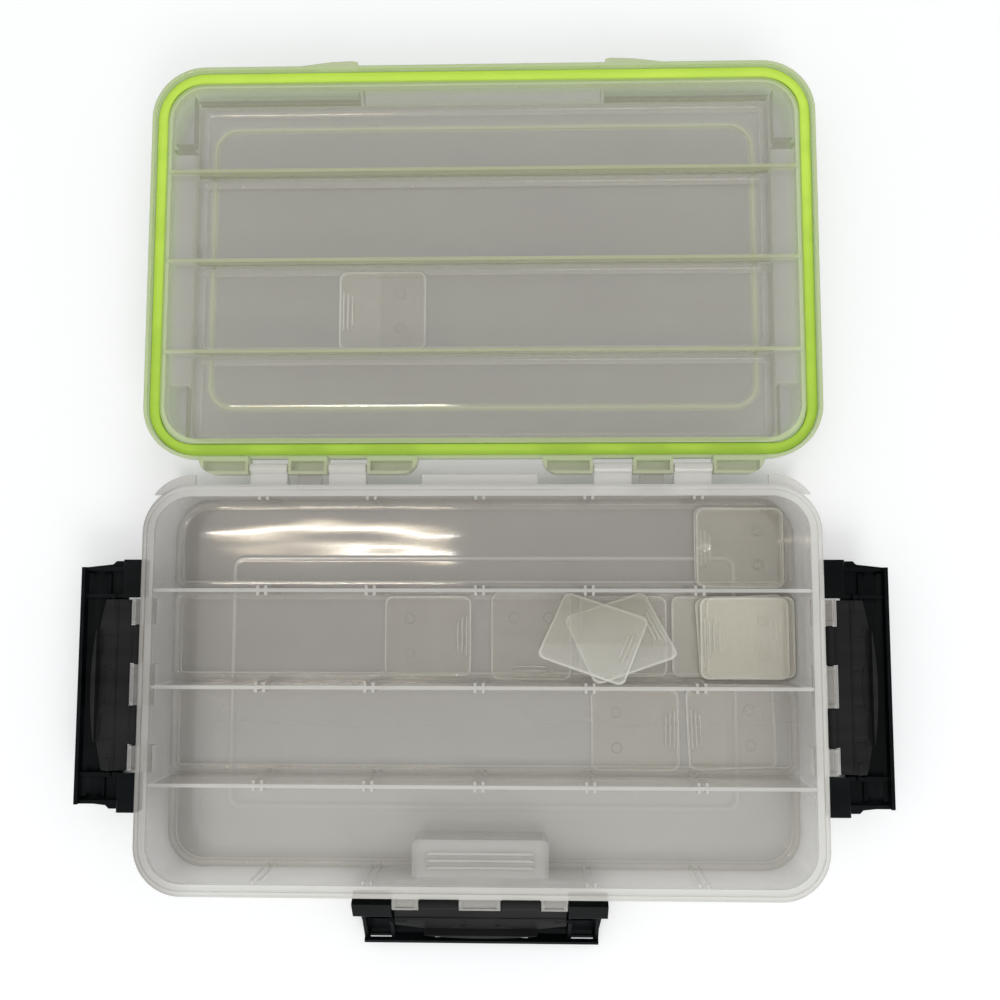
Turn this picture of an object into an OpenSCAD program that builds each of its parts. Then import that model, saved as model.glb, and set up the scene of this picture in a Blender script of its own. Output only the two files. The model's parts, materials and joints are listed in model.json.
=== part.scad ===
// Waterproof tackle box with a gasketed lid, shown lying open.
// The tray stands on z = 0 with its rows along X and its front at -Y.
// The lid is folded right back at +Y, and the three latches are swung out.

/* [Tray] */
// Inside length of the tray, along its rows
tray_len = 324.8; // [310:1:400]
// Inside depth of the tray, across its rows
tray_depth = 188.4; // [184:1:230]
// Height of the rim above the table
rim_z = 37; // [34:1:46]
// Thickness of the tray's walls
wall = 1.8; // [1.4:0.1:2.6]
// Thickness of the tray's floor
floor_t = 2.2; // [1.6:0.1:3]
// Inside corner radius of the tray
corner_r = 18.2; // [12:0.1:20]
// Width of the rim, from the inside face outwards
rim_w = 5.8; // [5:0.1:8]
// Thickness of the rim
rim_t = 2.2; // [1.6:0.1:3]
// Width of the sealing bead on the rim
bead_w = 1.6; // [1:0.1:2.4]
// Height of the sealing bead
bead_h = 1; // [0.6:0.1:1.1]
// Reach of the ledge behind the back rim
ledge_w = 5.2; // [3:0.1:6]
// Drop of that ledge below the rim's underside
ledge_t = 1.8; // [1:0.1:3]
// Length of the panel outlined under the floor
panel_len = 265; // [200:1:290]
// Depth of the panel outlined under the floor
panel_depth = 131; // [90:1:150]
// Width of the outline groove
groove_w = 2.4; // [1:0.1:4]
// Depth of the outline groove
groove_h = 0.8; // [0.4:0.1:1]

/* [Rows and slots] */
// Thickness of the fixed partitions
partition_t = 1.8; // [1.4:0.1:2.4]
// How far the partitions stay below the rim
partition_drop = 0.8; // [0.5:0.1:3]
// Width of one slot rib
slot_rib_w = 1.4; // [1:0.1:2]
// How far a slot rib stands off its wall
slot_rib_out = 1.6; // [1:0.1:1.7]
// Gap between the two ribs of a slot
slot_gap = 2.6; // [1.8:0.1:3.4]
// How far the slot ribs stay below the rim
slot_drop = 1.6; // [1:0.1:6]

/* [Finger pocket] */
// Width of the finger pocket in the front
pocket_len = 68; // [50:0.5:80]
// How far the pocket goes in behind the front wall
pocket_depth = 18.2; // [12:0.1:24]
// Height of the pocket's top
pocket_h = 21; // [14:0.5:24]
// Length of the grip ribs on it
pocket_rib_len = 54; // [30:1:60]
// Spacing of the grip ribs
pocket_rib_pitch = 3.4; // [3:0.1:4]
// Width of a grip rib
pocket_rib_w = 1.1; // [0.8:0.1:1.6]
// Height of a grip rib
pocket_rib_h = 0.8; // [0.4:0.1:1.2]

/* [Lid] */
// Height of the closed box
overall_h = 51.2; // [50:0.5:64]
// Gap between the rim and the lid's flange
mate_gap = 0.4; // [0.3:0.1:0.8]
// Height of the lid's flange above that gap
flange_h = 4; // [3.6:0.1:6]
// Play between the rim's edge and the skirt
skirt_gap = 1.3; // [0.6:0.1:2]
// Thickness of the skirt
skirt_t = 1.8; // [1.4:0.1:2.4]
// How far the skirt hangs below the rim's top
skirt_drop = 1.4; // [0.6:0.1:1.6]
// Thickness of the lid's walls
lid_wall = 2; // [1.6:0.1:2.4]
// Thickness of the lid's roof
roof_t = 2.2; // [1.8:0.1:3]
// Width of the lip between the seal and the inside
seal_lip = 2.5; // [2:0.1:3.5]
// Depth of the panel sunk in the roof's outside
roof_sink = 0.8; // [0.4:0.1:1]
// Length of that panel
roof_panel_len = 283; // [200:1:290]
// Depth of that panel
roof_panel_depth = 150; // [100:1:160]
// Gap between the lid's long ribs and the partitions
rib_gap = 0.4; // [0.3:0.1:1]
// Half the length of the stretch cut down for a latch
latch_bay = 62.5; // [61:0.5:66]
// Height of the shelf in that stretch, above the flange
shelf_rise = 2.6; // [2:0.1:4]
// Depth of the cut at the two ends
end_cut = 11.8; // [8:0.1:14]
// Depth of the cut at the front
front_cut = 6.7; // [5:0.1:8]

/* [Seal] */
// Width of the seal at the two ends
seal_w_end = 5.8; // [4:0.1:7]
// Width of the seal along the two long sides
seal_w_long = 6.3; // [5:0.1:8]
// Depth of the seal's groove
seal_groove = 2.6; // [2:0.1:3]
// How far the seal's face stays inside the groove
seal_sink = 0.8; // [0.7:0.1:1.2]
// Play round the seal in its groove
seal_play = 0.1; // [0.05:0.05:0.2]

/* [Lid hinge] */
// Distance of the hinge axis behind the skirt
hinge_out = 5.2; // [4.6:0.1:6]
// Drop of the hinge axis below the rim's top
hinge_drop = 2.4; // [2:0.1:4]
// Radius of the lid's hinge pins
hinge_pin_r = 1.25; // [1:0.05:1.5]
// Outside radius of the tray's knuckles
hinge_knuckle_r = 2.6; // [2.4:0.1:2.8]
// Running clearance of the lid's hinge pins
hinge_fit = 0.05; // [0.03:0.01:0.1]
// Distance of a bracket's middle from the box's middle
bracket_mid = 86; // [70:1:100]
// Length of a bracket
bracket_len = 110; // [100:1:120]
// Distance of its windows from its middle
window_off = 19.8; // [16:0.1:26]
// Length of a window
window_len = 20; // [14:0.5:24]
// Side play of a knuckle in its window
window_play = 0.7; // [0.4:0.1:1.2]
// Thickness of a bracket's walls
bracket_wall = 1.6; // [1.2:0.1:2]

/* [Latches] */
// Distance of the latch axis outside the skirt
latch_out = 3.1; // [2.4:0.1:4]
// Height of the latch axis above the table
latch_z = 22.5; // [20:0.5:23]
// Radius of the hook plate's hinge bar
bar_r = 1.5; // [1.2:0.1:1.8]
// Running clearance of the hinge bar
bar_fit = 0.05; // [0.03:0.01:0.1]
// Outside radius of the tray's lugs
lug_r = 3.3; // [3:0.1:3.6]
// Length of the middle lug
lug_mid_len = 20.4; // [14:0.2:24]
// Length of an outer lug
lug_end_len = 13; // [10:0.2:15]
// Distance of an outer lug from the middle
lug_off = 36.7; // [34:0.1:38]
// Play between a lug and what turns beside it
lug_play = 0.5; // [0.3:0.1:1]
// Thickness of the hook plate
hook_t = 2; // [1.6:0.1:2.4]
// How much the hook plate's edge bows out
hook_bow = 5; // [3:0.1:6]
// Thickness of the hook's lip
lip_t = 2.2; // [1.6:0.1:3]
// How far the lip reaches over the lid's flange
lip_bite = 2; // [1:0.1:2.4]
// Gap between the lip and the flange when closed
lip_gap = 0.3; // [0.2:0.1:0.6]
// Distance of the lever's pivot from the latch axis
lever_pivot = 13; // [12:0.1:14]
// Radius of the lever's stub pins
stub_r = 1.2; // [1:0.1:1.4]
// Reach of the lever from the latch axis
lever_reach = 28.9; // [27:0.1:30]
// Half the length of the lever's cover
cover_half = 62.4; // [58:0.1:62.6]
// Half the length over the lever's heels
heel_half = 63; // [62.7:0.1:65]
// Thickness of the lever's walls
lever_wall = 1.8; // [1.4:0.1:2]
// Angle at which the front latch hangs below level
front_hang = 39; // [10:1:39]

/* [Loose dividers] */
// Thickness of a divider
divider_t = 1.3; // [1:0.1:1.8]
// Play of a divider across its row
divider_play = 0.35; // [0.3:0.05:1]
// Height of a divider when it stands in its slot
divider_h = 41.8; // [36:0.1:42]
// Corner radius of a divider
divider_r = 4; // [2:0.1:6]
// Height of the grip ribs on a divider
grip_h = 0.35; // [0.2:0.05:0.6]
// Gap under a lying divider
lay_gap = 0.1; // [0.05:0.05:0.2]

/* [Hidden] */
$fn = 72;
arc_fn = 360;

eps = 0.01;
over = 1;
rows = 4;
columns = 6;
groove_r = 6;
roof_panel_r = 12;
pocket_r = 3;
pocket_rib_back = 1;
ledge_play = 2;

// Half sizes in plan, from the inside of the tray outwards
in_x = tray_len / 2;
in_y = tray_depth / 2;
rim_x = in_x + rim_w;
rim_y = in_y + rim_w;
rim_r = corner_r + rim_w;
seal_x = rim_x + skirt_gap;
seal_y = rim_y + skirt_gap;
seal_r = rim_r + skirt_gap;
lid_x = seal_x + skirt_t;
lid_y = seal_y + skirt_t;
lid_r = seal_r + skirt_t;
dome_x = seal_x - seal_w_end - seal_lip;
dome_y = seal_y - seal_w_long - seal_lip;
dome_r = corner_r - over;
bead_x = seal_x - seal_w_end / 2 + bead_w / 2;
bead_y = seal_y - seal_w_long / 2 + bead_w / 2;
bead_r = rim_r - over;

// Heights of the closed box
partition_z = rim_z - partition_drop;
slot_z = rim_z - slot_drop;
mate_z = rim_z + mate_gap;
flange_z = mate_z + flange_h;
skirt_z = rim_z - skirt_drop;
roof_z = overall_h - roof_t;
rib_z = partition_z + rib_gap;
shelf_z = flange_z + shelf_rise;

// Rows and slots
row_pitch = (tray_depth + partition_t) / rows;
row_w = row_pitch - partition_t;
slot_pitch = tray_len / columns;
slot_x = [for (i = [1 : columns - 1]) (i - columns / 2) * slot_pitch];
partition_y = [for (i = [1 : rows - 1]) (i - rows / 2) * row_pitch];
function row_y(n) = in_y - row_w / 2 - (n - 1) * row_pitch;

// Lid hinge
hinge_y = lid_y + hinge_out;
hinge_z = rim_z - hinge_drop;
hinge_swing = 3.9;
bracket_out = 2.9;
bracket_up = 5.4;
bracket_down = 2.6;
bracket_r = 8;
snap_share = 0.82;
arm_top = skirt_z - over / 2;
arm_root = 10;
stop_gap = 0.2;
stop_len = 12;
stop_low = 6.1;
stop_high = 3;

// Latches: where each one sits, and how it is turned
LEFT = 0;
RIGHT = 1;
FRONT = 2;
latch_place = [[-lid_x - latch_out, 0], [lid_x + latch_out, 0], [0, -lid_y - latch_out]];
latch_turn = [180, 0, -90];
latch_hang = [0, 0, front_hang];
latch_arm = lid_x + latch_out - in_x - wall / 2;
lug_edge = lug_off + lug_end_len / 2;
hook_half = lug_edge - lug_play + eps;
hook_play = 0.2;
hook_start = lug_r + lug_play + hook_play;
lip_in = flange_z + lip_gap - latch_z;
hook_reach = lip_in + lip_t;
pad_start = 10.1;
pad_gap = 0.3;
pad_bow = 3.4;
pad_h = 0.5;
lip_top = latch_out + lip_bite;
knuckle_r = 2.9;
lug_cut_in = 3 * lug_r;
lug_cut_h = 1.2;
knuckle_from = lug_mid_len / 2 + lug_play;
knuckle_to = lug_off - lug_end_len / 2 - lug_play;
boss_r = stub_r + 1.2;
boss_len = 5.8;
stub_len = 6;
cover_in = 3;
cover_t = 2;
cover_start = 7;
cover_step = 1.7;
cover_narrow = 3.2;
cover_corner = 13.5;
rib_from = lug_edge + lug_play;
rib_top = 0.8;
edge_top = 3;
heel_in = 3;
heel_out = 7.6;
heel_top = 3.3;
heel_round = 1.5;
edge_slot_x = [-51, -18, 18, 51];
edge_slot_len = 11;
edge_slot_h = 1.6;

// Bumps that guard the front latch: from its end outwards along the lid's front edge
bump_from = heel_half + 1.3;
bump_out = 2.4;
bump_steep = 3;
bump_flat = 14;
bump_len = 34;

// Loose dividers: [x, y, height, turn, tilt]
divider_w = row_w - divider_play;
divider_pitch = divider_t + grip_h + lay_gap;
function lay_z(level) = floor_t + lay_gap + level * divider_pitch;
function lean_span(turn) = 2 * ((divider_h / 2 - divider_r) * cos(turn)
    + (divider_w / 2 - divider_r) * abs(sin(turn)) + divider_r);
lean_turn_low = 21;
lean_turn_top = -22;
lean_room = 1.9;
lean_tilt = acos((row_w - lean_room) / lean_span(lean_turn_top));
lean_low_z = lay_z(1) + lean_span(lean_turn_low) / 2 * sin(lean_tilt) + 2 * lay_gap;
lean_top_z = lean_low_z + (divider_pitch + lay_gap) / cos(lean_tilt);
third_step = 4;
bay_slip = 0.5;
slot_half = slot_gap / 2 + slot_rib_w;
// Nearest place at or left of the wanted one where a divider reaching that far clears the slots
function in_bay(wanted, reach) = min(wanted,
    (floor((wanted - reach) / slot_pitch) + 1) * slot_pitch - reach);
stack_gap = 18.4;
under_gap = 2.4;
turned_gap = 4.4;
single_gap = 10.4;
corner_gap = 6.1;
third_gap = 11.2;
stack_x = in_x - stack_gap - divider_w / 2;
under_x = stack_x - divider_w - under_gap;
turned_x = in_bay(under_x - divider_w / 2 - divider_h / 2 - turned_gap, divider_h / 2 + slot_half);
single_x = turned_x - divider_h / 2 - divider_w / 2 - single_gap;
corner_x = in_x - corner_gap - divider_w / 2;
third_x = in_x - third_gap - divider_w / 2;
third_left_x = in_bay(third_x - divider_w - third_step, divider_w / 2 + slot_half - bay_slip);
divider_place = [
    [-51.7, row_y(1) - row_pitch + 0.2, roof_z - lay_gap, 180, 0],
    [corner_x, row_y(1) - 0.9, lay_z(0), 180, 0],
    [corner_x + 0.9, row_y(1) - 1.7, lay_z(1), 180, 0],
    [single_x, row_y(2), lay_z(0), 0, 0],
    [turned_x, row_y(2), lay_z(0), -90, 0],
    [under_x, row_y(2), lay_z(0), 0, 0],
    [under_x - 3, row_y(2) + 0.1, lean_low_z, lean_turn_low, lean_tilt],
    [under_x - 16.6, row_y(2) - 0.1, lean_top_z, lean_turn_top, lean_tilt],
    [stack_x, row_y(2), lay_z(0), 0, 0],
    [stack_x + 13, row_y(2), lay_z(1), 3, 0],
    [stack_x + 17.6, row_y(2) - 0.2, lay_z(2), 180, 0],
    [stack_x + 14, row_y(2) - 0.8, lay_z(3), 180, 0],
    [third_left_x, row_y(3) - 0.6, lay_z(0), 0, 0],
    [third_x, row_y(3) + 0.7, lay_z(0), 182, 0]];
grip_x = [20.3, 18, 15.7];
grip_len = [23, 20, 17];
grip_w = 0.8;

// Rectangle with round corners, centred on the origin
module rounded(half_x, half_y, r) {
    square([2 * (half_x - r), 2 * half_y], center = true);
    square([2 * half_x, 2 * (half_y - r)], center = true);
    for (sx = [-1, 1], sy = [-1, 1])
        translate([sx * (half_x - r), sy * (half_y - r)])
            circle(r = r);
}

// Slab with round corners between two heights
module slab(half_x, half_y, r, low, high) {
    translate([0, 0, low])
        linear_extrude(high - low)
            rounded(half_x, half_y, r);
}

// Box given by its two opposite corners
module block(low, high) {
    translate(low)
        cube(high - low);
}

// Rod along X between two places
module rod_x(from, to, r, y, z) {
    translate([from, y, z])
        rotate([0, 90, 0])
            cylinder(r = r, h = to - from);
}

// Rod along Y, with its middle on the origin
module rod_y(r, len) {
    rotate([90, 0, 0])
        cylinder(r = r, h = len, center = true);
}

// Profile in X and Z, carried along Y over a length
module along_y(len) {
    rotate([90, 0, 0])
        linear_extrude(len, center = true)
            children();
}

// Frame of a latch on its seat: X outwards, Y along the latch, Z up
module latch_seat(k) {
    translate([latch_place[k][0], latch_place[k][1], latch_z])
        rotate([0, 0, latch_turn[k]])
            children();
}

// Floor, walls, rim and bead of the tray
module tray_shell() {
    difference() {
        slab(in_x + wall, in_y + wall, corner_r + wall, 0, rim_z);
        slab(in_x, in_y, corner_r, floor_t, rim_z + over);
        difference() {
            slab(panel_len / 2, panel_depth / 2, groove_r, -over, groove_h);
            slab(panel_len / 2 - groove_w, panel_depth / 2 - groove_w, groove_r - groove_w / 2,
                -2 * over, groove_h + over);
        }
    }
    difference() {
        slab(rim_x, rim_y, rim_r, rim_z - rim_t, rim_z);
        slab(in_x, in_y, corner_r, rim_z - rim_t - over, rim_z + over);
    }
    difference() {
        slab(bead_x, bead_y, bead_r, rim_z - eps, rim_z + bead_h);
        slab(bead_x - bead_w, bead_y - bead_w, bead_r - bead_w, rim_z - over, rim_z + 2 * bead_h);
    }
}

// Low ledge behind the back rim, open where the lid's brackets swing
module back_ledge() {
    low = rim_z - rim_t - ledge_t;
    difference() {
        translate([0, ledge_w / 2, 0])
            slab(rim_x, rim_y + ledge_w / 2, rim_r, low, rim_z - rim_t + eps);
        block([-rim_x - over, -rim_y - over, low - over], [rim_x + over, in_y + wall / 2, rim_z]);
        for (side = [-1, 1])
            translate([side * bracket_mid, rim_y + ledge_w, low])
                cube([bracket_len + 2 * ledge_play, 2 * ledge_w, 4 * ledge_t], center = true);
    }
}

// One pair of slot ribs in plan, reaching both ways from a wall's middle
module slot_ribs(reach_low, reach_high) {
    for (side = [-1, 1])
        translate([side * (slot_gap + slot_rib_w) / 2 - slot_rib_w / 2, -reach_low])
            square([slot_rib_w, reach_low + reach_high]);
}

// Fixed partitions and all the slot ribs
module partitions() {
    reach = partition_t / 2 + slot_rib_out;
    translate([0, 0, floor_t - over / 2])
        linear_extrude(partition_z - floor_t + over / 2)
            for (y = partition_y)
                translate([0, y])
                    square([tray_len + wall, partition_t], center = true);
    translate([0, 0, floor_t - over / 2])
        linear_extrude(slot_z - floor_t + over / 2)
            for (x = slot_x) {
                for (y = partition_y)
                    translate([x, y])
                        slot_ribs(reach, reach);
                translate([x, in_y])
                    slot_ribs(slot_rib_out, wall / 2);
                if (abs(x) > pocket_len / 2 + slot_gap)
                    translate([x, -in_y])
                        slot_ribs(wall / 2, slot_rib_out);
            }
}

// Hollow block that the finger pocket makes inside the tray
module pocket_block(half, back, top) {
    translate([0, 0, -over])
        linear_extrude(top + over)
            translate([0, -in_y])
                intersection() {
                    rounded(half, back, pocket_r);
                    translate([-half, -wall - over])
                        square([2 * half, back + wall + over]);
                }
}

// Lug of a latch on the tray's wall, without its bore
module lug(len) {
    along_y(len) {
        circle(r = lug_r);
        translate([-latch_arm, -lug_r])
            square([latch_arm, 2 * lug_r]);
    }
}

// What is cut from a lug: its bore, the snap mouth below it and a shallow pocket on top
module lug_cut(len) {
    mouth = 2 * bar_r * snap_share;
    rod_y(bar_r + bar_fit, len + over);
    translate([0, 0, -lug_r / 2 - over / 2])
        cube([mouth, len + over, lug_r + over], center = true);
    block([-lug_cut_in, -len / 2 + wall, lug_r - lug_cut_h], [lug_r - wall, len / 2 - wall, lug_r + over]);
}

// The three lugs of one latch
module each_lug() {
    for (i = [-1, 0, 1])
        translate([0, i * lug_off, 0]) {
            $lug_len = i == 0 ? lug_mid_len : lug_end_len;
            children();
        }
}

// Middles of the four hinge windows
function window_x() = [for (side = [-1, 1], i = [-1, 1]) side * bracket_mid + i * window_off];

// Arm with a knuckle that carries one hinge pin of the lid
module hinge_arm(x) {
    len = window_len - 2 * window_play;
    root = in_y + wall / 2;
    translate([x - len / 2, 0, 0])
        rotate([90, 0, 90])
            linear_extrude(len) {
                translate([hinge_y, hinge_z])
                    circle(r = hinge_knuckle_r);
                polygon([[root, arm_top - arm_root], [root, arm_top],
                    [hinge_y, arm_top], [hinge_y, hinge_z - hinge_knuckle_r]]);
            }
}

// Bore of a hinge arm, with the mouth through which the pin snaps in
module hinge_bore(x) {
    mouth = 2 * hinge_pin_r * snap_share;
    rod_x(x - window_len / 2, x + window_len / 2, hinge_pin_r + hinge_fit, hinge_y, hinge_z);
    translate([x, hinge_y + hinge_knuckle_r / 2 + over / 2, hinge_z])
        cube([window_len, hinge_knuckle_r + over, mouth], center = true);
}

// Pads that stop the opened lid
module lid_stops() {
    for (side = [-1, 1])
        translate([side * bracket_mid - stop_len / 2, 0, 0])
            block([0, in_y + wall / 2, hinge_z - stop_low],
                [stop_len, hinge_y - bracket_out - stop_gap, hinge_z - stop_high]);
}

module base_tray() {
    color([0.88, 0.89, 0.87])
        difference() {
            union() {
                tray_shell();
                back_ledge();
                partitions();
                intersection() {
                    pocket_block(pocket_len / 2, pocket_depth, pocket_h);
                    slab(in_x + wall, in_y + wall, corner_r + wall, 0, rim_z);
                }
                for (i = [-1 : 1])
                    translate([0, -in_y + pocket_depth / 2 - pocket_rib_back + i * pocket_rib_pitch, pocket_h])
                        cube([pocket_rib_len, pocket_rib_w, 2 * pocket_rib_h], center = true);
                for (k = [LEFT, RIGHT, FRONT])
                    latch_seat(k)
                        each_lug()
                            lug($lug_len);
                for (x = window_x())
                    hinge_arm(x);
                lid_stops();
            }
            pocket_block(pocket_len / 2 - wall, pocket_depth - wall, pocket_h - wall);
            for (k = [LEFT, RIGHT, FRONT])
                latch_seat(k)
                    each_lug()
                        lug_cut($lug_len);
            for (x = window_x())
                hinge_bore(x);
        }
}

// Where the lid is cut down for the latches: both ends and the front
module latch_cuts(grow, low) {
    for (side = [-1, 1])
        block([side > 0 ? dome_x + lid_wall - end_cut - grow : -lid_x - over, -latch_bay - grow, low],
            [side > 0 ? lid_x + over : -dome_x - lid_wall + end_cut + grow, latch_bay + grow,
                overall_h + over]);
    block([-latch_bay - grow, -lid_y - over, low],
        [latch_bay + grow, -dome_y - lid_wall + front_cut + grow, overall_h + over]);
}

// Dome of the lid with its roof, walls and latch shelves
module lid_dome() {
    difference() {
        slab(dome_x + lid_wall, dome_y + lid_wall, dome_r + lid_wall, mate_z, overall_h);
        latch_cuts(0, shelf_z);
        difference() {
            slab(dome_x, dome_y, dome_r, mate_z - over, roof_z);
            latch_cuts(lid_wall, shelf_z - lid_wall);
        }
        slab(roof_panel_len / 2, roof_panel_depth / 2, roof_panel_r, overall_h - roof_sink, overall_h + over);
    }
}

// Flange and skirt round the lid, with the groove for the seal
module lid_flange() {
    difference() {
        slab(lid_x, lid_y, lid_r, skirt_z, flange_z);
        slab(seal_x, seal_y, seal_r, skirt_z - over, mate_z);
        difference() {
            slab(seal_x, seal_y, seal_r, mate_z - over, mate_z + seal_groove);
            slab(dome_x + seal_lip, dome_y + seal_lip, dome_r + seal_lip,
                mate_z - 2 * over, mate_z + seal_groove + over);
        }
        slab(dome_x, dome_y, dome_r, mate_z - over, flange_z + over);
    }
}

// Ribs under the roof: three over the partitions, two by the ends and one by the front
module lid_ribs() {
    low = flange_z + shelf_rise - lid_wall;
    end_x = dome_x + lid_wall - end_cut - lid_wall;
    front_y = -dome_y - lid_wall + front_cut;
    difference() {
        for (y = partition_y)
            block([-dome_x - over, y - partition_t / 2, rib_z],
                [dome_x + over, y + partition_t / 2, roof_z + over]);
        latch_cuts(over / 2, shelf_z - over / 2);
    }
    for (side = [-1, 1])
        translate([side * (end_x + lid_wall / 2) - lid_wall / 2, 0, 0])
            block([0, -dome_y - over / 2, low], [lid_wall, dome_y + over / 2, roof_z + over]);
    block([-end_x, front_y, low], [end_x, front_y + lid_wall, roof_z + over]);
}

// Hinge bracket of the lid, with its windows and pins
module lid_bracket(mid) {
    low = hinge_z - bracket_down;
    high = hinge_z + bracket_up;
    out = hinge_y + bracket_out;
    half = bracket_len / 2;
    inner = window_off - window_len / 2;
    outer = window_off + window_len / 2;
    difference() {
        translate([mid, lid_y - skirt_t / 2, low])
            linear_extrude(high - low)
                intersection() {
                    rounded(half, out - lid_y + skirt_t / 2, bracket_r);
                    translate([-half, 0])
                        square([2 * half, 3 * bracket_r]);
                }
        for (i = [-1, 1])
            block([mid + i * window_off - window_len / 2, seal_y, low - over],
                [mid + i * window_off + window_len / 2, out + over, high + over]);
        for (span = [[-half, -outer], [-inner, inner], [outer, half]])
            block([mid + span[0] + bracket_wall + (span[0] < -inner ? over : 0),
                    lid_y + bracket_wall, low - over],
                [mid + span[1] - bracket_wall - (span[1] > inner ? over : 0),
                    out - bracket_wall, high - bracket_wall]);
        block([mid - half, seal_y - over, low - over], [mid + half, lid_y - skirt_t / 2 + eps, high + over]);
    }
    for (i = [-1, 1])
        rod_x(mid + i * window_off - window_len / 2 - bracket_wall,
            mid + i * window_off + window_len / 2 + bracket_wall, hinge_pin_r, hinge_y, hinge_z);
}

// Bumps on the front edge on both sides of the front latch
module guard_bumps() {
    for (side = [-1, 1])
        translate([0, 0, skirt_z])
            linear_extrude(flange_z - skirt_z)
                polygon([[side * bump_from, -lid_y + over], [side * bump_from, -lid_y - bump_out + over / 2],
                    [side * (bump_from + bump_steep), -lid_y - bump_out],
                    [side * (bump_from + bump_flat), -lid_y - bump_out + over / 2],
                    [side * (bump_from + bump_len), -lid_y + over / 2]]);
}

// The lid as it is on the closed box
module lid_closed() {
    lid_dome();
    lid_flange();
    lid_ribs();
    guard_bumps();
    for (side = [-1, 1])
        lid_bracket(side * bracket_mid);
}

// Turns what is drawn on the closed lid to the opened lid
module opened() {
    translate([0, 2 * hinge_y, 2 * hinge_z])
        rotate([180, 0, 0])
            children();
}

module lid() {
    color([0.9, 0.91, 0.88])
        opened()
            lid_closed();
}

module lid_seal() {
    color([0.66, 0.93, 0.27])
        opened()
            difference() {
                slab(seal_x - seal_play, seal_y - seal_play, seal_r - seal_play,
                    mate_z + seal_sink, mate_z + seal_groove - seal_play);
                slab(dome_x + seal_lip + seal_play, dome_y + seal_lip + seal_play,
                    dome_r + seal_lip + seal_play, mate_z, flange_z);
            }
}

// Outline on the hook plate from a straight start to a bowed edge
module hook_outline(start, reach, bow) {
    arc = (hook_half * hook_half + bow * bow) / (2 * bow);
    intersection() {
        translate([start, -hook_half])
            square([reach - start, 2 * hook_half]);
        translate([reach - arc, 0])
            circle(r = arc, $fn = arc_fn);
    }
}

module hook_plate(k) {
    color([0.17, 0.17, 0.16])
        latch_seat(k)
            rotate([0, latch_hang[k], 0])
                difference() {
                    union() {
                        rod_y(bar_r, 2 * hook_half);
                        for (side = [-1, 1]) {
                            translate([0, side * (knuckle_from + knuckle_to) / 2, 0]) {
                                rod_y(knuckle_r, knuckle_to - knuckle_from);
                                translate([hook_start / 2 + over / 2, 0, 0])
                                    cube([hook_start + over, knuckle_to - knuckle_from, hook_t],
                                        center = true);
                            }
                            translate([lever_pivot, side * (hook_half - boss_len / 2), 0])
                                rod_y(boss_r, boss_len);
                        }
                        translate([0, 0, -hook_t / 2])
                            linear_extrude(hook_t)
                                hook_outline(hook_start, hook_reach, hook_bow);
                        linear_extrude(hook_t / 2 + pad_h)
                            hook_outline(pad_start, lip_in - pad_gap, pad_bow);
                        linear_extrude(lip_top)
                            hook_outline(lip_in, hook_reach, hook_bow);
                    }
                    for (side = [-1, 1])
                        translate([lever_pivot, side * hook_half, 0])
                            rod_y(stub_r + bar_fit, 2 * boss_len + over);
                }
}

// One end of the lever: heel, inner rib, end wall and stub pin
module lever_end() {
    low = -cover_in - cover_t;
    block([-heel_in, rib_from, low], [heel_out - heel_round, heel_half, heel_top]);
    block([-heel_in, rib_from, low], [heel_out, heel_half, heel_top - heel_round]);
    translate([heel_out - heel_round, (rib_from + heel_half) / 2, heel_top - heel_round])
        rod_y(heel_round, heel_half - rib_from);
    block([cover_start, rib_from, low], [lever_reach - eps, rib_from + lever_wall, rib_top]);
    block([heel_out - over, cover_half - cover_narrow - lever_wall, low],
        [lever_reach - eps, cover_half - cover_narrow, rib_top]);
    translate([lever_pivot, rib_from - stub_len / 2 + over / 2, 0])
        rod_y(stub_r, stub_len + over);
    translate([lever_pivot, rib_from + lever_wall / 2, 0])
        rod_y(boss_r, lever_wall);
}

module lever(k) {
    low = -cover_in - cover_t;
    narrow = cover_half - cover_narrow;
    color([0.07, 0.08, 0.08])
        latch_seat(k)
            rotate([0, latch_hang[k], 0])
                difference() {
                    union() {
                        translate([0, 0, low])
                            linear_extrude(cover_t)
                                polygon([[cover_start, -cover_half], [cover_corner, -cover_half],
                                    [cover_corner + cover_step, cover_step - cover_half],
                                    [lever_reach, -narrow], [lever_reach, narrow],
                                    [cover_corner + cover_step, cover_half - cover_step],
                                    [cover_corner, cover_half], [cover_start, cover_half]]);
                        block([lever_reach - lever_wall, -narrow, low], [lever_reach, narrow, edge_top]);
                        lever_end();
                        mirror([0, 1, 0])
                            lever_end();
                    }
                    for (y = edge_slot_x)
                        translate([lever_reach, y, 0])
                            cube([4 * lever_wall, edge_slot_len, edge_slot_h], center = true);
                }
}

// Clear divider with three grip ribs by one end, lying flat
module divider_sheet() {
    linear_extrude(divider_t)
        rounded(divider_w / 2, divider_h / 2, divider_r);
    for (i = [0 : 2])
        translate([grip_x[i] - grip_w / 2, -grip_len[i] / 2, divider_t - eps])
            cube([grip_w, grip_len[i], grip_h + eps]);
}

module divider(n) {
    place = divider_place[n];
    color([0.93, 0.94, 0.93])
        translate([place[0], place[1], place[2]])
            rotate([-place[4], 0, 0])
                rotate([0, 0, place[3]])
                    divider_sheet();
}

// The divider that lies in the opened lid, ribs upwards
module lid_divider() {
    opened()
        translate([0, 0, 2 * divider_place[0][2]])
            rotate([180, 0, 0])
                mirror([0, 1, 0])
                    divider(0);
}

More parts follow.
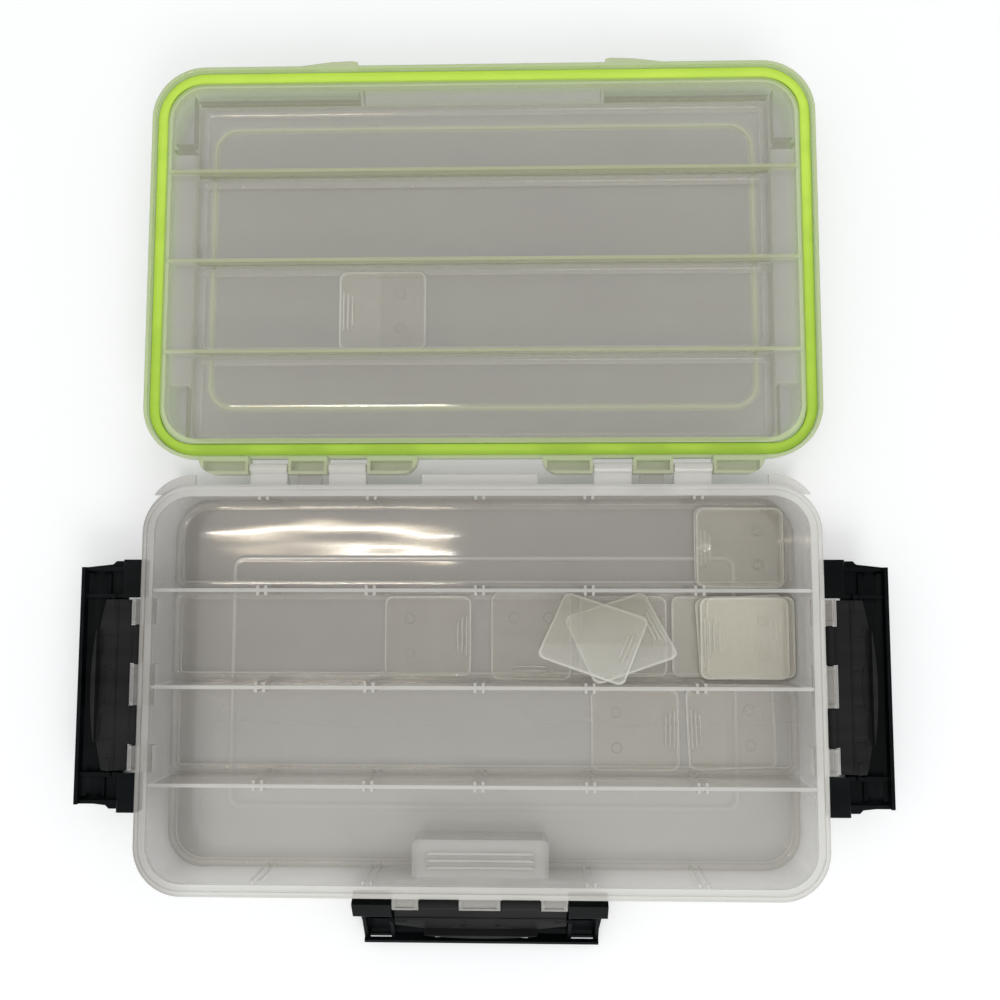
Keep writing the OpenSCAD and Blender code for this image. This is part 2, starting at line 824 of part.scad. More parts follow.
base_tray();
lid();
lid_seal();
hook_plate(LEFT);  // left_latch_hook
hook_plate(RIGHT);  // right_latch_hook
hook_plate(FRONT);  // front_latch_hook
lever(LEFT);  // left_latch_lever
lever(RIGHT);  // right_latch_lever
lever(FRONT);  // front_latch_lever
lid_divider();
divider(1);  // back_row_divider_1
divider(2);  // back_row_divider_2
divider(3);  // second_row_divider_1
divider(4);  // second_row_divider_2
divider(5);  // second_row_divider_3
divider(6);  // second_row_divider_4
divider(7);  // second_row_divider_5
divider(8);  // second_row_divider_6
divider(9);  // second_row_divider_7
divider(10);  // second_row_divider_8
divider(11);  // second_row_divider_9
divider(12);  // third_row_divider_1
divider(13);  // third_row_divider_2
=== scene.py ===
"""Looks of a translucent waterproof tackle box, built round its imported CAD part.

The box lies open: a milky tray with four long rows, the lid folded right back with its lime
seal, three dark swing-out latches and a handful of loose clear dividers. Every length is in
metres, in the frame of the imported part: +X along the rows, +Y towards the hinge, +Z up.
"""

from __future__ import annotations

import json
import logging
import math
from dataclasses import dataclass, replace
from enum import Enum

import bmesh
import bpy
import numpy as np
from mathutils import Euler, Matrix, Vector

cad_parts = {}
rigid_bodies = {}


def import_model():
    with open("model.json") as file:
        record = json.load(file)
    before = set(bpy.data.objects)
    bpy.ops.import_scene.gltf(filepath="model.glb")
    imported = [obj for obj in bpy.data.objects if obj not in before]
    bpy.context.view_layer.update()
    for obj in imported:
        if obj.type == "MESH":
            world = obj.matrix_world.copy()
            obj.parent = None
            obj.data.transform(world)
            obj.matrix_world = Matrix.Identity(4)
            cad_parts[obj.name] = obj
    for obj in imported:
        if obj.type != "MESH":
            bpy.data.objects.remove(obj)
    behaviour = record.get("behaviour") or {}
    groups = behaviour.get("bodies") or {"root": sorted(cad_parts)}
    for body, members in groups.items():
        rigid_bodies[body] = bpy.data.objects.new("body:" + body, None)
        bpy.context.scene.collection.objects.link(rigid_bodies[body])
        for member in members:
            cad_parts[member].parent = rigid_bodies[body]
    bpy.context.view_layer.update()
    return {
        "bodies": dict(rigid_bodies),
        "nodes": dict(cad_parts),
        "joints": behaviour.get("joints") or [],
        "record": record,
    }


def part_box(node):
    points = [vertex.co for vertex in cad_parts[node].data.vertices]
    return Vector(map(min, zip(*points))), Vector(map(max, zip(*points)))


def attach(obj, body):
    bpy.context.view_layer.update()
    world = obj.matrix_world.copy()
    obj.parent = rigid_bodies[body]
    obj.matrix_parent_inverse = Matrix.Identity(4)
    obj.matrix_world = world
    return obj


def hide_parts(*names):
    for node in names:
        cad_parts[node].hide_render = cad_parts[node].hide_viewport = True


LOG = logging.getLogger("tackle_box")
MM = 0.001
SMALLEST_CAP = 1e-10
SAME_POINT = 1e-7
POINT_DECIMALS = 7
QUARTER = math.pi / 2
FULL_TURN = 2 * math.pi
SCREEN_WHITE = 255
SRGB_TOE = 0.04045
SRGB_TOE_SLOPE = 12.92
SRGB_OFFSET = 0.055
SRGB_POWER = 2.4
FLOAT = "NodeSocketFloat"
VECTOR = "NodeSocketVector"
EDGE_LAYER = "edge"
Colour = tuple[float, float, float]
Points = np.ndarray
Socket = bpy.types.NodeSocket


class Side(Enum):
    """The three places where a latch hangs on the tray."""

    LEFT = "left"
    RIGHT = "right"
    FRONT = "front"


def tone(red: float, green: float, blue: float) -> Colour:
    """Turns a colour read off a screen, 0 to 255, into the linear values that shaders use.

    Args:
        red: Red as displayed.
        green: Green as displayed.
        blue: Blue as displayed.

    Returns:
        The linear colour: below the toe v / 12.92, above it ((v + 0.055) / 1.055) ** 2.4.
    """
    shown = np.array([red, green, blue]) / SCREEN_WHITE
    curve = ((shown + SRGB_OFFSET) / (1 + SRGB_OFFSET)) ** SRGB_POWER
    linear = np.where(shown <= SRGB_TOE, shown / SRGB_TOE_SLOPE, curve)
    return tuple(float(v) for v in linear)


# ---------------------------------------------------------------- node graphs


class Graph:
    """Adds nodes to one node tree and joins them."""

    def __init__(self, tree: bpy.types.NodeTree) -> None:
        """Keeps the tree that the nodes go into."""
        self.tree = tree

    def add(self, kind: str, inputs: dict | None = None, **settings) -> bpy.types.Node:
        """Adds a node, sets its properties and fills its inputs.

        Args:
            kind: The node's type, without the ShaderNode in front.
            inputs: Input name or number to a value or to the socket that feeds it.
            **settings: Properties of the node.

        Returns:
            The new node.
        """
        node = self.tree.nodes.new("ShaderNode" + kind)
        for name, value in settings.items():
            setattr(node, name, value)
        for key, value in (inputs or {}).items():
            self.feed(node.inputs[key], value)
        return node

    def feed(self, socket: Socket, value: object) -> None:
        """Joins a socket to the input, or writes the value on it.

        Args:
            socket: The input.
            value: A socket, a colour or a number.
        """
        if isinstance(value, Socket):
            self.tree.links.new(value, socket)
        elif isinstance(value, tuple) and socket.type == "RGBA":
            socket.default_value = (*value, 1.0)
        else:
            socket.default_value = value

    def sum(self, operation: str, *values: object, clamp: bool = False) -> Socket:
        """Works out one arithmetic operation on sockets or numbers.

        Args:
            operation: A Math node's operation.
            *values: Its operands, in order.
            clamp: Whether the result is kept between 0 and 1.

        Returns:
            The result's socket.
        """
        node = self.add("Math", operation=operation, use_clamp=clamp)
        for i, value in enumerate(values):
            self.feed(node.inputs[i], value)
        return node.outputs[0]

    def times(self, first: object, second: object, clamp: bool = False) -> Socket:
        """Multiplies two sockets or numbers."""
        return self.sum("MULTIPLY", first, second, clamp=clamp)

    def step(self, value: object, low: float, high: float) -> Socket:
        """Rises smoothly from 0 to 1 while value goes from low to high.

        Args:
            value: The socket that is mapped.
            low: Where the result leaves 0.
            high: Where the result reaches 1.

        Returns:
            The mapped socket.
        """
        limits = {"Value": value, "From Min": low, "From Max": high}
        return self.add("MapRange", limits, interpolation_type="SMOOTHSTEP").outputs["Result"]

    def blend(self, share: object, first: object, second: object) -> Socket:
        """Mixes two colours.

        Args:
            share: How much of the second one shows, 0 to 1.
            first: Colour or socket.
            second: Colour or socket.

        Returns:
            The mixed colour's socket.
        """
        node = self.add("Mix", data_type="RGBA")
        self.feed(node.inputs["Factor"], share)
        self.feed(node.inputs["A"], first)
        self.feed(node.inputs["B"], second)
        return next(o for o in node.outputs if o.type == "RGBA")

    def noise(self, place: object, scale: object, detail: float = 2.0) -> Socket:
        """Reads a smooth noise, about 0.5 on average, with so many bumps per metre."""
        node = self.add("TexNoise", {"Vector": place, "Scale": scale, "Detail": detail})
        return node.outputs["Fac"]

    def place(self) -> Socket:
        """Reads Object coordinates."""
        return self.add("TexCoord").outputs["Object"]

    def axis(self, name: str) -> Socket:
        """Reads one of the Object coordinates."""
        return self.add("SeparateXYZ", {0: self.place()}).outputs[name]

    def upwards(self) -> Socket:
        """Reads how far the surface faces up, -1 to 1."""
        normal = self.add("NewGeometry").outputs["Normal"]
        return self.add("SeparateXYZ", {0: normal}).outputs["Z"]

    def stretch(self, place: Socket, scale: tuple, turn: float = 0.0) -> Socket:
        """Turns coordinates about Z and scales them."""
        values = {"Vector": place, "Rotation": (0.0, 0.0, turn), "Scale": scale}
        return self.add("Mapping", values).outputs[0]

    def group(self, tree: bpy.types.NodeTree, inputs: dict) -> bpy.types.Node:
        """Places a shared node group and fills its inputs.

        Args:
            tree: The group's tree.
            inputs: Input name to value or socket.

        Returns:
            The group's node.
        """
        node = self.add("Group")
        node.node_tree = tree
        for key, value in inputs.items():
            self.feed(node.inputs[key], value)
        return node


def new_group(name: str, inputs: dict[str, float], outputs: dict[str, str]) -> tuple:
    """Starts a shared node group with named sockets.

    Args:
        name: The group's name.
        inputs: Socket name to its default number.
        outputs: Socket name to its kind.

    Returns:
        The group's graph, its given sockets and its result sockets, both by name.
    """
    tree = bpy.data.node_groups.new(name, "ShaderNodeTree")
    for socket_name, value in inputs.items():
        socket = tree.interface.new_socket(socket_name, in_out="INPUT", socket_type=FLOAT)
        socket.default_value = value
    for socket_name, kind in outputs.items():
        tree.interface.new_socket(socket_name, in_out="OUTPUT", socket_type=kind)
    given, result = tree.nodes.new("NodeGroupInput"), tree.nodes.new("NodeGroupOutput")
    return Graph(tree), given.outputs, result.inputs


@dataclass(frozen=True)
class Scratches:
    """One family of fine scratches: its turn, and its bumps per metre across and along."""

    turn: float
    per_metre: float
    along: float = 34.0


class SharedEffects:
    """The node groups that several finishes use, each built once."""

    bevel_samples = 2
    wave_stretch = (0.5, 2.4, 1.0)
    wave_detail = 1.5
    grain_per_metre = 1500.0
    flow_stretch = (9.0, 90.0, 40.0)
    cloud_per_metre = 26.0
    scratches = (Scratches(0.95, 1600.0), Scratches(1.35, 1100.0), Scratches(-0.35, 1300.0))
    thread = (0.77, 0.83)
    patch_per_metre = 19.0
    patch = (0.42, 0.62)

    def __init__(self) -> None:
        """Builds every group."""
        self.round_edge = self.build_round_edge()
        self.mould_skin = self.build_mould_skin()
        self.scuffs = self.build_scuffs()
        self.outline = self.build_outline()

    def build_round_edge(self) -> bpy.types.NodeTree:
        """Softens sharp edges and tells where they are.

        Returns:
            A group that gives the rounded normal, and a mask from how far it leans off the
            flat one: the gain times 1 less their dot product.
        """
        graph, given, result = new_group(
            "RoundEdge", {"Radius": 0.0006, "Gain": 3.0}, {"Mask": FLOAT, "Normal": VECTOR})
        bevel = graph.add("Bevel", {"Radius": given["Radius"]}, samples=self.bevel_samples)
        flat = graph.add("NewGeometry").outputs["Normal"]
        dot = graph.add("VectorMath", {0: bevel.outputs[0], 1: flat}, operation="DOT_PRODUCT")
        lean = graph.sum("SUBTRACT", 1.0, dot.outputs["Value"])
        graph.feed(result["Mask"], graph.times(lean, given["Gain"], clamp=True))
        graph.feed(result["Normal"], bevel.outputs[0])
        return graph.tree

    def build_mould_skin(self) -> bpy.types.NodeTree:
        """The skin that a mould leaves: slow waves, flow streaks along X and a fine grain.

        Returns:
            A group that gives a height in metres, and a mottle between 0 and 1.
        """
        graph, given, result = new_group(
            "MouldSkin", {"Waves": 0.0002, "Grain": 0.00001, "Pitch": 13.0},
            {"Height": FLOAT, "Mottle": FLOAT})
        place = graph.place()
        drawn = graph.stretch(place, self.wave_stretch)
        waves = graph.times(graph.noise(drawn, given["Pitch"], self.wave_detail), given["Waves"])
        grain = graph.times(graph.noise(place, self.grain_per_metre, 0.0), given["Grain"])
        graph.feed(result["Height"], graph.sum("ADD", waves, grain))
        flow = graph.noise(graph.stretch(place, self.flow_stretch), 1.0, 1.0)
        both = graph.sum("ADD", flow, graph.noise(place, self.cloud_per_metre))
        graph.feed(result["Mottle"], graph.times(both, 0.5))
        return graph.tree

    def build_scuffs(self) -> bpy.types.NodeTree:
        """Fine crossing scratches: noise stretched along a few directions, cut to threads.

        Returns:
            A group that gives the scratches' mask.
        """
        graph, given, result = new_group("Scuffs", {"Amount": 0.5}, {"Mask": FLOAT})
        place = graph.place()
        threads = 0.0
        for family in self.scratches:
            turned = graph.stretch(place, (1.0, 1.0, 1.0), family.turn)
            long = graph.stretch(turned, (family.along, family.per_metre, family.along))
            thread = graph.step(graph.noise(long, 1.0, 0.0), *self.thread)
            threads = graph.sum("ADD", threads, thread)
        patches = graph.step(graph.noise(place, self.patch_per_metre, 0.0), *self.patch)
        mask = graph.times(threads, patches)
        graph.feed(result["Mask"], graph.times(mask, given["Amount"], clamp=True))
        return graph.tree

    @staticmethod
    def build_outline() -> bpy.types.NodeTree:
        """A line along a rectangle with round corners, seen from above.

        The distance from the outline is the length of (|x| - a, |y| - b) cut at 0, less the
        corner radius, where a and b are the half sizes less that radius.

        Returns:
            A group that gives the line's mask.
        """
        graph, given, result = new_group(
            "Outline", {"Half X": 0.1, "Half Y": 0.05, "Corner": 0.006, "Middle Y": 0.0,
                        "Width": 0.001}, {"Mask": FLOAT})
        from_middle = graph.sum("SUBTRACT", graph.axis("Y"), given["Middle Y"])
        over = []
        for along, half in ((graph.axis("X"), "Half X"), (from_middle, "Half Y")):
            inner = graph.sum("SUBTRACT", given[half], given["Corner"])
            over.append(graph.sum("SUBTRACT", graph.sum("ABSOLUTE", along), inner))
        squares = [graph.sum("POWER", graph.sum("MAXIMUM", value, 0.0), 2.0) for value in over]
        length = graph.sum("SQRT", graph.sum("ADD", *squares))
        outside = graph.sum("SUBTRACT", length, given["Corner"])
        inside = graph.sum("MINIMUM", graph.sum("MAXIMUM", *over), 0.0)
        distance = graph.sum("ABSOLUTE", graph.sum("ADD", outside, inside))
        share = graph.sum("DIVIDE", distance, given["Width"])
        graph.feed(result["Mask"], graph.sum("SUBTRACT", 1.0, share, clamp=True))
        return graph.tree


# ---------------------------------------------------------------- finishes


@dataclass(frozen=True)
class Finish:
    """What every finish has: its name, its two tones and its skin."""

    name: str
    deep: Colour
    light: Colour
    roughness: float = 0.3
    rough_swing: float = 0.2
    gloss: float = 0.5
    edge_radius: float = 0.5 * MM
    edge_gain: float = 3.0
    waves: float = 0.0
    grain: float = 0.001 * MM

    def relief(self, graph: Graph, effects: SharedEffects) -> Socket | float:
        """Height to add to the skin's, in metres: none, unless a finish has a groove."""
        return 0.0

    def start(self, effects: SharedEffects) -> tuple:
        """Starts the material with its shader, edge group and skin group.

        Args:
            effects: The shared node groups.

        Returns:
            The material, its graph, its shader, the edge's mask and the skin's mottle.
        """
        material = bpy.data.materials.new(self.name)
        material.use_nodes = True
        graph = Graph(material.node_tree)
        shader = material.node_tree.nodes["Principled BSDF"]
        shader.inputs["Specular IOR Level"].default_value = self.gloss
        edge = graph.group(
            effects.round_edge, {"Radius": self.edge_radius, "Gain": self.edge_gain}).outputs
        skin = graph.group(effects.mould_skin, {"Waves": self.waves, "Grain": self.grain}).outputs
        height = graph.sum("ADD", skin["Height"], self.relief(graph, effects))
        bump = graph.add("Bump", {"Height": height, "Normal": edge["Normal"],
                                  "Strength": 1.0, "Distance": 1.0})
        graph.feed(shader.inputs["Normal"], bump.outputs[0])
        swing = graph.times(skin["Mottle"], self.rough_swing)
        graph.feed(shader.inputs["Roughness"], graph.sum("ADD", swing, self.roughness))
        return material, graph, shader, edge["Mask"], skin["Mottle"]


@dataclass(frozen=True)
class Panel:
    """A rounded outline on a floor or roof, which shows below a height."""

    half_x: float
    half_y: float
    corner: float
    middle_y: float
    width: float
    depth: float = 0.0
    below: float = 0.0


@dataclass(frozen=True)
class MilkyPlastic(Finish):
    """Translucent moulded plastic: a thin sheet lets light through, a rim or rib looks whiter."""

    rough_swing: float = 0.05
    sheet: float = 0.5
    thick: float = 0.75
    grazing: float = 0.35
    ior: float = 1.95
    band: tuple[float, float] | None = None
    band_share: float = 1.0
    panel: Panel | None = None
    # Painted light: a lime glow along the lid's flange and walls, near the seal.
    glow: Panel | None = None
    glow_tone: Colour = tone(178, 222, 40)
    glow_share: float = 0.62
    scuffed: float = 0.0
    # Painted light: share of the light tone on upright faces.
    upright: float = 0.45
    # Painted light and shade: the front is painted lighter, the left end darker.
    painted_front_light: tuple[float, float] | None = None
    left_shade: tuple[float, float] = (-168 * MM, -135 * MM)
    dim_tone: Colour = tone(128, 127, 122)
    edge_name: str = ""
    mask_share: float = 0.8
    wall_lean: tuple[float, float] = (0.2, 0.7)
    painted_front_light_share: float = 0.9
    side_swing: float = 0.8
    dim_share: float = 0.45
    mottle_range: tuple[float, float] = (0.3, 0.7)
    mottle_share: float = 0.1
    scratch_share: float = 0.35
    facing_blend: float = 0.4
    facing_power: float = 2.0

    @staticmethod
    def line(graph: Graph, effects: SharedEffects, panel: Panel) -> Socket:
        """Places the outline of a panel.

        Args:
            graph: The material's graph.
            effects: The shared node groups.
            panel: The panel.

        Returns:
            The mask of its outline.
        """
        return graph.group(effects.outline, {
            "Half X": panel.half_x, "Half Y": panel.half_y, "Corner": panel.corner,
            "Middle Y": panel.middle_y, "Width": panel.width}).outputs["Mask"]

    def relief(self, graph: Graph, effects: SharedEffects) -> Socket | float:
        """The panel's outline as a shallow groove: its depth times the outline's smooth mask.

        Args:
            graph: The material's graph.
            effects: The shared node groups.

        Returns:
            The groove's height, below 0, or 0 without a panel.
        """
        if not self.panel:
            return 0.0
        low = graph.sum("LESS_THAN", graph.axis("Z"), self.panel.below)
        mask = graph.step(self.line(graph, effects, self.panel), 0.0, 1.0)
        return graph.times(graph.times(mask, low), -self.panel.depth)

    def solid(self, graph: Graph, effects: SharedEffects, edge: Socket) -> Socket:
        """Tells where the plastic looks thick: edges, a height band, a panel's line, drawn lines.
        The lighter colour that this gives edges and drawn lines is painted light.

        Args:
            graph: The material's graph.
            effects: The shared node groups.
            edge: The mask of sharp edges.

        Returns:
            The mask's socket, the largest of the parts.
        """
        mask = graph.times(edge, self.mask_share)
        if self.band:
            rise = graph.step(graph.axis("Z"), *self.band)
            mask = graph.sum("MAXIMUM", mask, graph.times(rise, self.band_share))
        if self.panel:
            low = graph.sum("LESS_THAN", graph.axis("Z"), self.panel.below)
            seen = graph.times(graph.times(self.line(graph, effects, self.panel), low),
                               self.mask_share)
            mask = graph.sum("MAXIMUM", mask, seen)
        if self.edge_name:
            drawn = graph.add("Attribute", attribute_name=self.edge_name).outputs["Fac"]
            mask = graph.sum("MAXIMUM", mask, drawn)
        return mask

    def colour(self, graph: Graph, effects: SharedEffects, mask: Socket, mottle: Socket) -> Socket:
        """Works out the colour: deep in the sheet, light where the plastic is thick, with painted
        light on edges and upright faces.

        Args:
            graph: The material's graph.
            effects: The shared node groups.
            mask: Where the plastic looks thick.
            mottle: The skin's mottle.

        Returns:
            The colour's socket.
        """
        # Painted light: upright faces are painted lighter than flat ones.
        lean = graph.sum("ABSOLUTE", graph.upwards())
        wall = graph.sum("SUBTRACT", 1.0, graph.step(lean, *self.wall_lean))
        shown = graph.sum("MAXIMUM", mask, graph.times(wall, self.upright))
        # Painted light and shade: lighter towards the front, darker towards the left end.
        if self.painted_front_light:
            front = graph.times(graph.step(graph.axis("Y"), *self.painted_front_light), self.painted_front_light_share)
            side = graph.step(graph.axis("X"), *self.left_shade)
            shade = graph.sum("MULTIPLY_ADD", side, self.side_swing, 1.0 - self.side_swing)
            shown = graph.times(graph.sum("MAXIMUM", shown, front), shade)
        base = graph.blend(shown, self.deep, self.light)
        # Painted shade: the left end is blended towards a darker tone.
        if self.painted_front_light:
            dim = graph.times(graph.sum("SUBTRACT", 1.0, side), self.dim_share)
            base = graph.blend(dim, base, self.dim_tone)
        cloud = graph.times(graph.step(mottle, *self.mottle_range), self.mottle_share)
        base = graph.blend(cloud, base, self.light)
        if self.scuffed:
            scratch = graph.group(effects.scuffs, {"Amount": self.scuffed}).outputs["Mask"]
            base = graph.blend(graph.times(scratch, self.scratch_share), base, self.light)
        # Painted light: a lime glow along the lid's flange and walls, near the seal.
        if self.glow:
            near = graph.step(self.line(graph, effects, self.glow), 0.0, 1.0)
            base = graph.blend(graph.times(near, self.glow_share), base, self.glow_tone)
        return base

    def build(self, effects: SharedEffects) -> bpy.types.Material:
        """Builds the material.

        The share of light that is stopped goes from sheet to thick where the mask is 1, and
        rises again where the surface is seen at a grazing angle.

        Args:
            effects: The shared node groups.

        Returns:
            The finished material.
        """
        material, graph, shader, edge, mottle = self.start(effects)
        shader.inputs["IOR"].default_value = self.ior
        mask = self.solid(graph, effects, edge)
        graph.feed(shader.inputs["Base Color"], self.colour(graph, effects, mask, mottle))
        solid = graph.sum("MULTIPLY_ADD", mask, self.thick - self.sheet, self.sheet)
        facing = graph.add("LayerWeight", {"Blend": self.facing_blend}).outputs["Facing"]
        slant = graph.times(graph.sum("POWER", facing, self.facing_power), self.grazing)
        left = graph.sum("SUBTRACT", 1.0, solid)
        alpha = graph.sum("MULTIPLY_ADD", left, slant, solid, clamp=True)
        graph.feed(shader.inputs["Alpha"], alpha)
        return material


@dataclass(frozen=True)
class SealRubber(Finish):
    """Soft lime rubber with a velvety face, in painted light and shade: lighter on top and away
    from the hinge, deeper along its flanks and towards the hinge.
    """

    rough_swing: float = 0.15
    # Painted light: lighter away from the hinge and on the top face.
    lit_from: tuple[float, float] = (110 * MM, 320 * MM)
    lit_swing: float = 0.55
    top: tuple[float, float] = (0.35, 0.95)
    mottle_range: tuple[float, float] = (0.35, 0.65)
    mottle_share: float = 0.22
    softness: float = 0.15
    soft_reach: Colour = (2 * MM, 3 * MM, 1 * MM)

    def build(self, effects: SharedEffects) -> bpy.types.Material:
        """Builds the material.

        Args:
            effects: The shared node groups.

        Returns:
            The finished material.
        """
        material, graph, shader, _, mottle = self.start(effects)
        # Painted light and shade: the top face and the side away from the hinge are lighter, the
        # flanks and the hinge side darker.
        along = graph.step(graph.axis("Y"), *self.lit_from)
        lit = graph.sum("MULTIPLY_ADD", along, self.lit_swing, 1.0 - self.lit_swing)
        top = graph.step(graph.upwards(), *self.top)
        face = graph.blend(graph.times(top, lit), self.deep, self.light)
        worn = graph.times(graph.step(mottle, *self.mottle_range), self.mottle_share)
        graph.feed(shader.inputs["Base Color"], graph.blend(worn, face, self.deep))
        shader.inputs["Subsurface Weight"].default_value = self.softness
        shader.inputs["Subsurface Radius"].default_value = self.soft_reach
        return material


@dataclass(frozen=True)
class DarkPlastic(Finish):
    """Dark moulded latch plastic with a fine spark texture and lighter, rubbed edges."""

    rubbed: float = 0.5
    mottle_range: tuple[float, float] = (0.35, 0.7)
    mottle_share: float = 0.12
    least_wear: float = 0.25

    def build(self, effects: SharedEffects) -> bpy.types.Material:
        """Builds the material.

        Args:
            effects: The shared node groups.

        Returns:
            The finished material.
        """
        material, graph, shader, edge, skin = self.start(effects)
        mottle = graph.step(skin, *self.mottle_range)
        uneven = graph.sum("ADD", mottle, self.least_wear)
        wear = graph.times(graph.times(edge, self.rubbed), uneven, clamp=True)
        face = graph.blend(graph.times(mottle, self.mottle_share), self.deep, self.light)
        graph.feed(shader.inputs["Base Color"], graph.blend(wear, face, self.light))
        return material


# ---------------------------------------------------------------- meshes


@dataclass
class Sheet:
    """A surface on a grid of points, rows by columns, that may close on itself either way."""

    grid: Points
    closed_rows: bool = False
    closed_columns: bool = False
    edge: Points | None = None

    def faces(self) -> np.ndarray:
        """Joins each grid point to its neighbours.

        Returns:
            Quads as rows of four point numbers: (i, j), (i, j + 1), (i + 1, j + 1), (i + 1, j).
        """
        rows, columns = self.grid.shape[:2]
        i = np.arange(rows if self.closed_rows else rows - 1)[:, None]
        j = np.arange(columns if self.closed_columns else columns - 1)[None, :]
        next_i, next_j = (i + 1) % rows * columns, (j + 1) % columns
        corners = (i * columns + j, i * columns + next_j, next_i + next_j, next_i + j)
        shape = np.broadcast(i, j).shape
        return np.stack([np.broadcast_to(c, shape) for c in corners], -1).reshape(-1, 4)

    def caps(self) -> list[np.ndarray]:
        """Closes the two ends of a tube: one face each, unless the end has no area.

        An end's area is half the length of the sum of its sides' cross products.

        Returns:
            The first row's points backwards and the last row's forwards, so both face outwards.
        """
        if self.closed_rows or not self.closed_columns:
            return []
        rows, columns = self.grid.shape[:2]
        first, last = np.arange(columns)[::-1], (rows - 1) * columns + np.arange(columns)
        rings = [self.grid.reshape(-1, 3)[row] for row in (first, last)]
        sums = [np.cross(r - r[0], np.roll(r - r[0], -1, axis=0)).sum(0) for r in rings]
        return [row for row, total in zip((first, last), sums)
                if np.linalg.norm(total) / 2 > SMALLEST_CAP]


def tube(x: Points, y: Points, z: Points, closed: bool = False, edge: float | None = None) -> Sheet:
    """Makes a surface that closes round its columns from its three coordinates.

    Args:
        x: First coordinate, which broadcasts with the others.
        y: Second coordinate.
        z: Third coordinate.
        closed: Whether the rows close too.
        edge: How much the surface counts as an edge.

    Returns:
        The surface.
    """
    grid = np.stack(np.broadcast_arrays(x, y, z), -1)
    return Sheet(grid, closed, True, None if edge is None else np.full(grid.shape[:2], edge))


def make_piece(name: str, sheets: list[Sheet], material: bpy.types.Material,
               smooth: float = 0.7) -> bpy.types.Object:
    """Puts grids into one mesh object at the origin.

    Args:
        name: The piece's name.
        sheets: Its surfaces.
        material: Its finish.
        smooth: Edges that turn less than this many radians are shaded smooth.

    Returns:
        The new object.
    """
    points = np.concatenate([s.grid.reshape(-1, 3) for s in sheets])
    starts = np.cumsum([0] + [s.grid.shape[0] * s.grid.shape[1] for s in sheets[:-1]])
    faces = np.concatenate([s.faces() + start for s, start in zip(sheets, starts)]).tolist()
    faces += [(cap + start).tolist() for s, start in zip(sheets, starts) for cap in s.caps()]
    mesh = bpy.data.meshes.new(name)
    mesh.from_pydata(points.tolist(), [], faces)
    if any(s.edge is not None for s in sheets):
        edges = [np.zeros(s.grid.shape[:2]) if s.edge is None else s.edge for s in sheets]
        values = np.concatenate([e.ravel() for e in edges]).astype(np.float32)
        mesh.attributes.new(EDGE_LAYER, "FLOAT", "POINT").data.foreach_set("value", values)
    joined = bmesh.new()
    joined.from_mesh(mesh)
    bmesh.ops.remove_doubles(joined, verts=joined.verts, dist=SAME_POINT)
    joined.to_mesh(mesh)
    joined.free()
    mesh.validate()
    mesh.shade_smooth()
    mesh.set_sharp_from_angle(angle=smooth)
    mesh.materials.append(material)
    piece = bpy.data.objects.new(name, mesh)
    bpy.context.scene.collection.objects.link(piece)
    return piece


def round_loop(half_x: float, half_y: float, radius: float, steps: int = 14) -> tuple:
    """Walks anticlockwise round a rectangle with round corners.

    Corner k turns through the quarter from k * 90 degrees: each point is the corner's middle
    plus radius times (cos a, sin a), which is also the outward direction there.

    Args:
        half_x: Half the length.
        half_y: Half the depth.
        radius: Corner radius.
        steps: Steps in each quarter.

    Returns:
        The points and the outward directions, each N by 2.
    """
    angle = (np.linspace(0, QUARTER, steps + 1) + np.arange(4)[:, None] * QUARTER).ravel()
    out = np.stack([np.cos(angle), np.sin(angle)], -1)
    sign = np.array([[1, 1], [-1, 1], [-1, -1], [1, -1]], float)
    middle = np.repeat(sign * [half_x - radius, half_y - radius], steps + 1, axis=0)
    return middle + radius * out, out


def carry(flat: Points, heights: Points) -> Sheet:
    """Closes a ring of sections: N by M points in plan, with the M heights of each section."""
    rise = np.broadcast_to(heights[None, :, None], (*flat.shape[:2], 1))
    return Sheet(np.concatenate([flat, rise], -1), closed_rows=True, closed_columns=True)


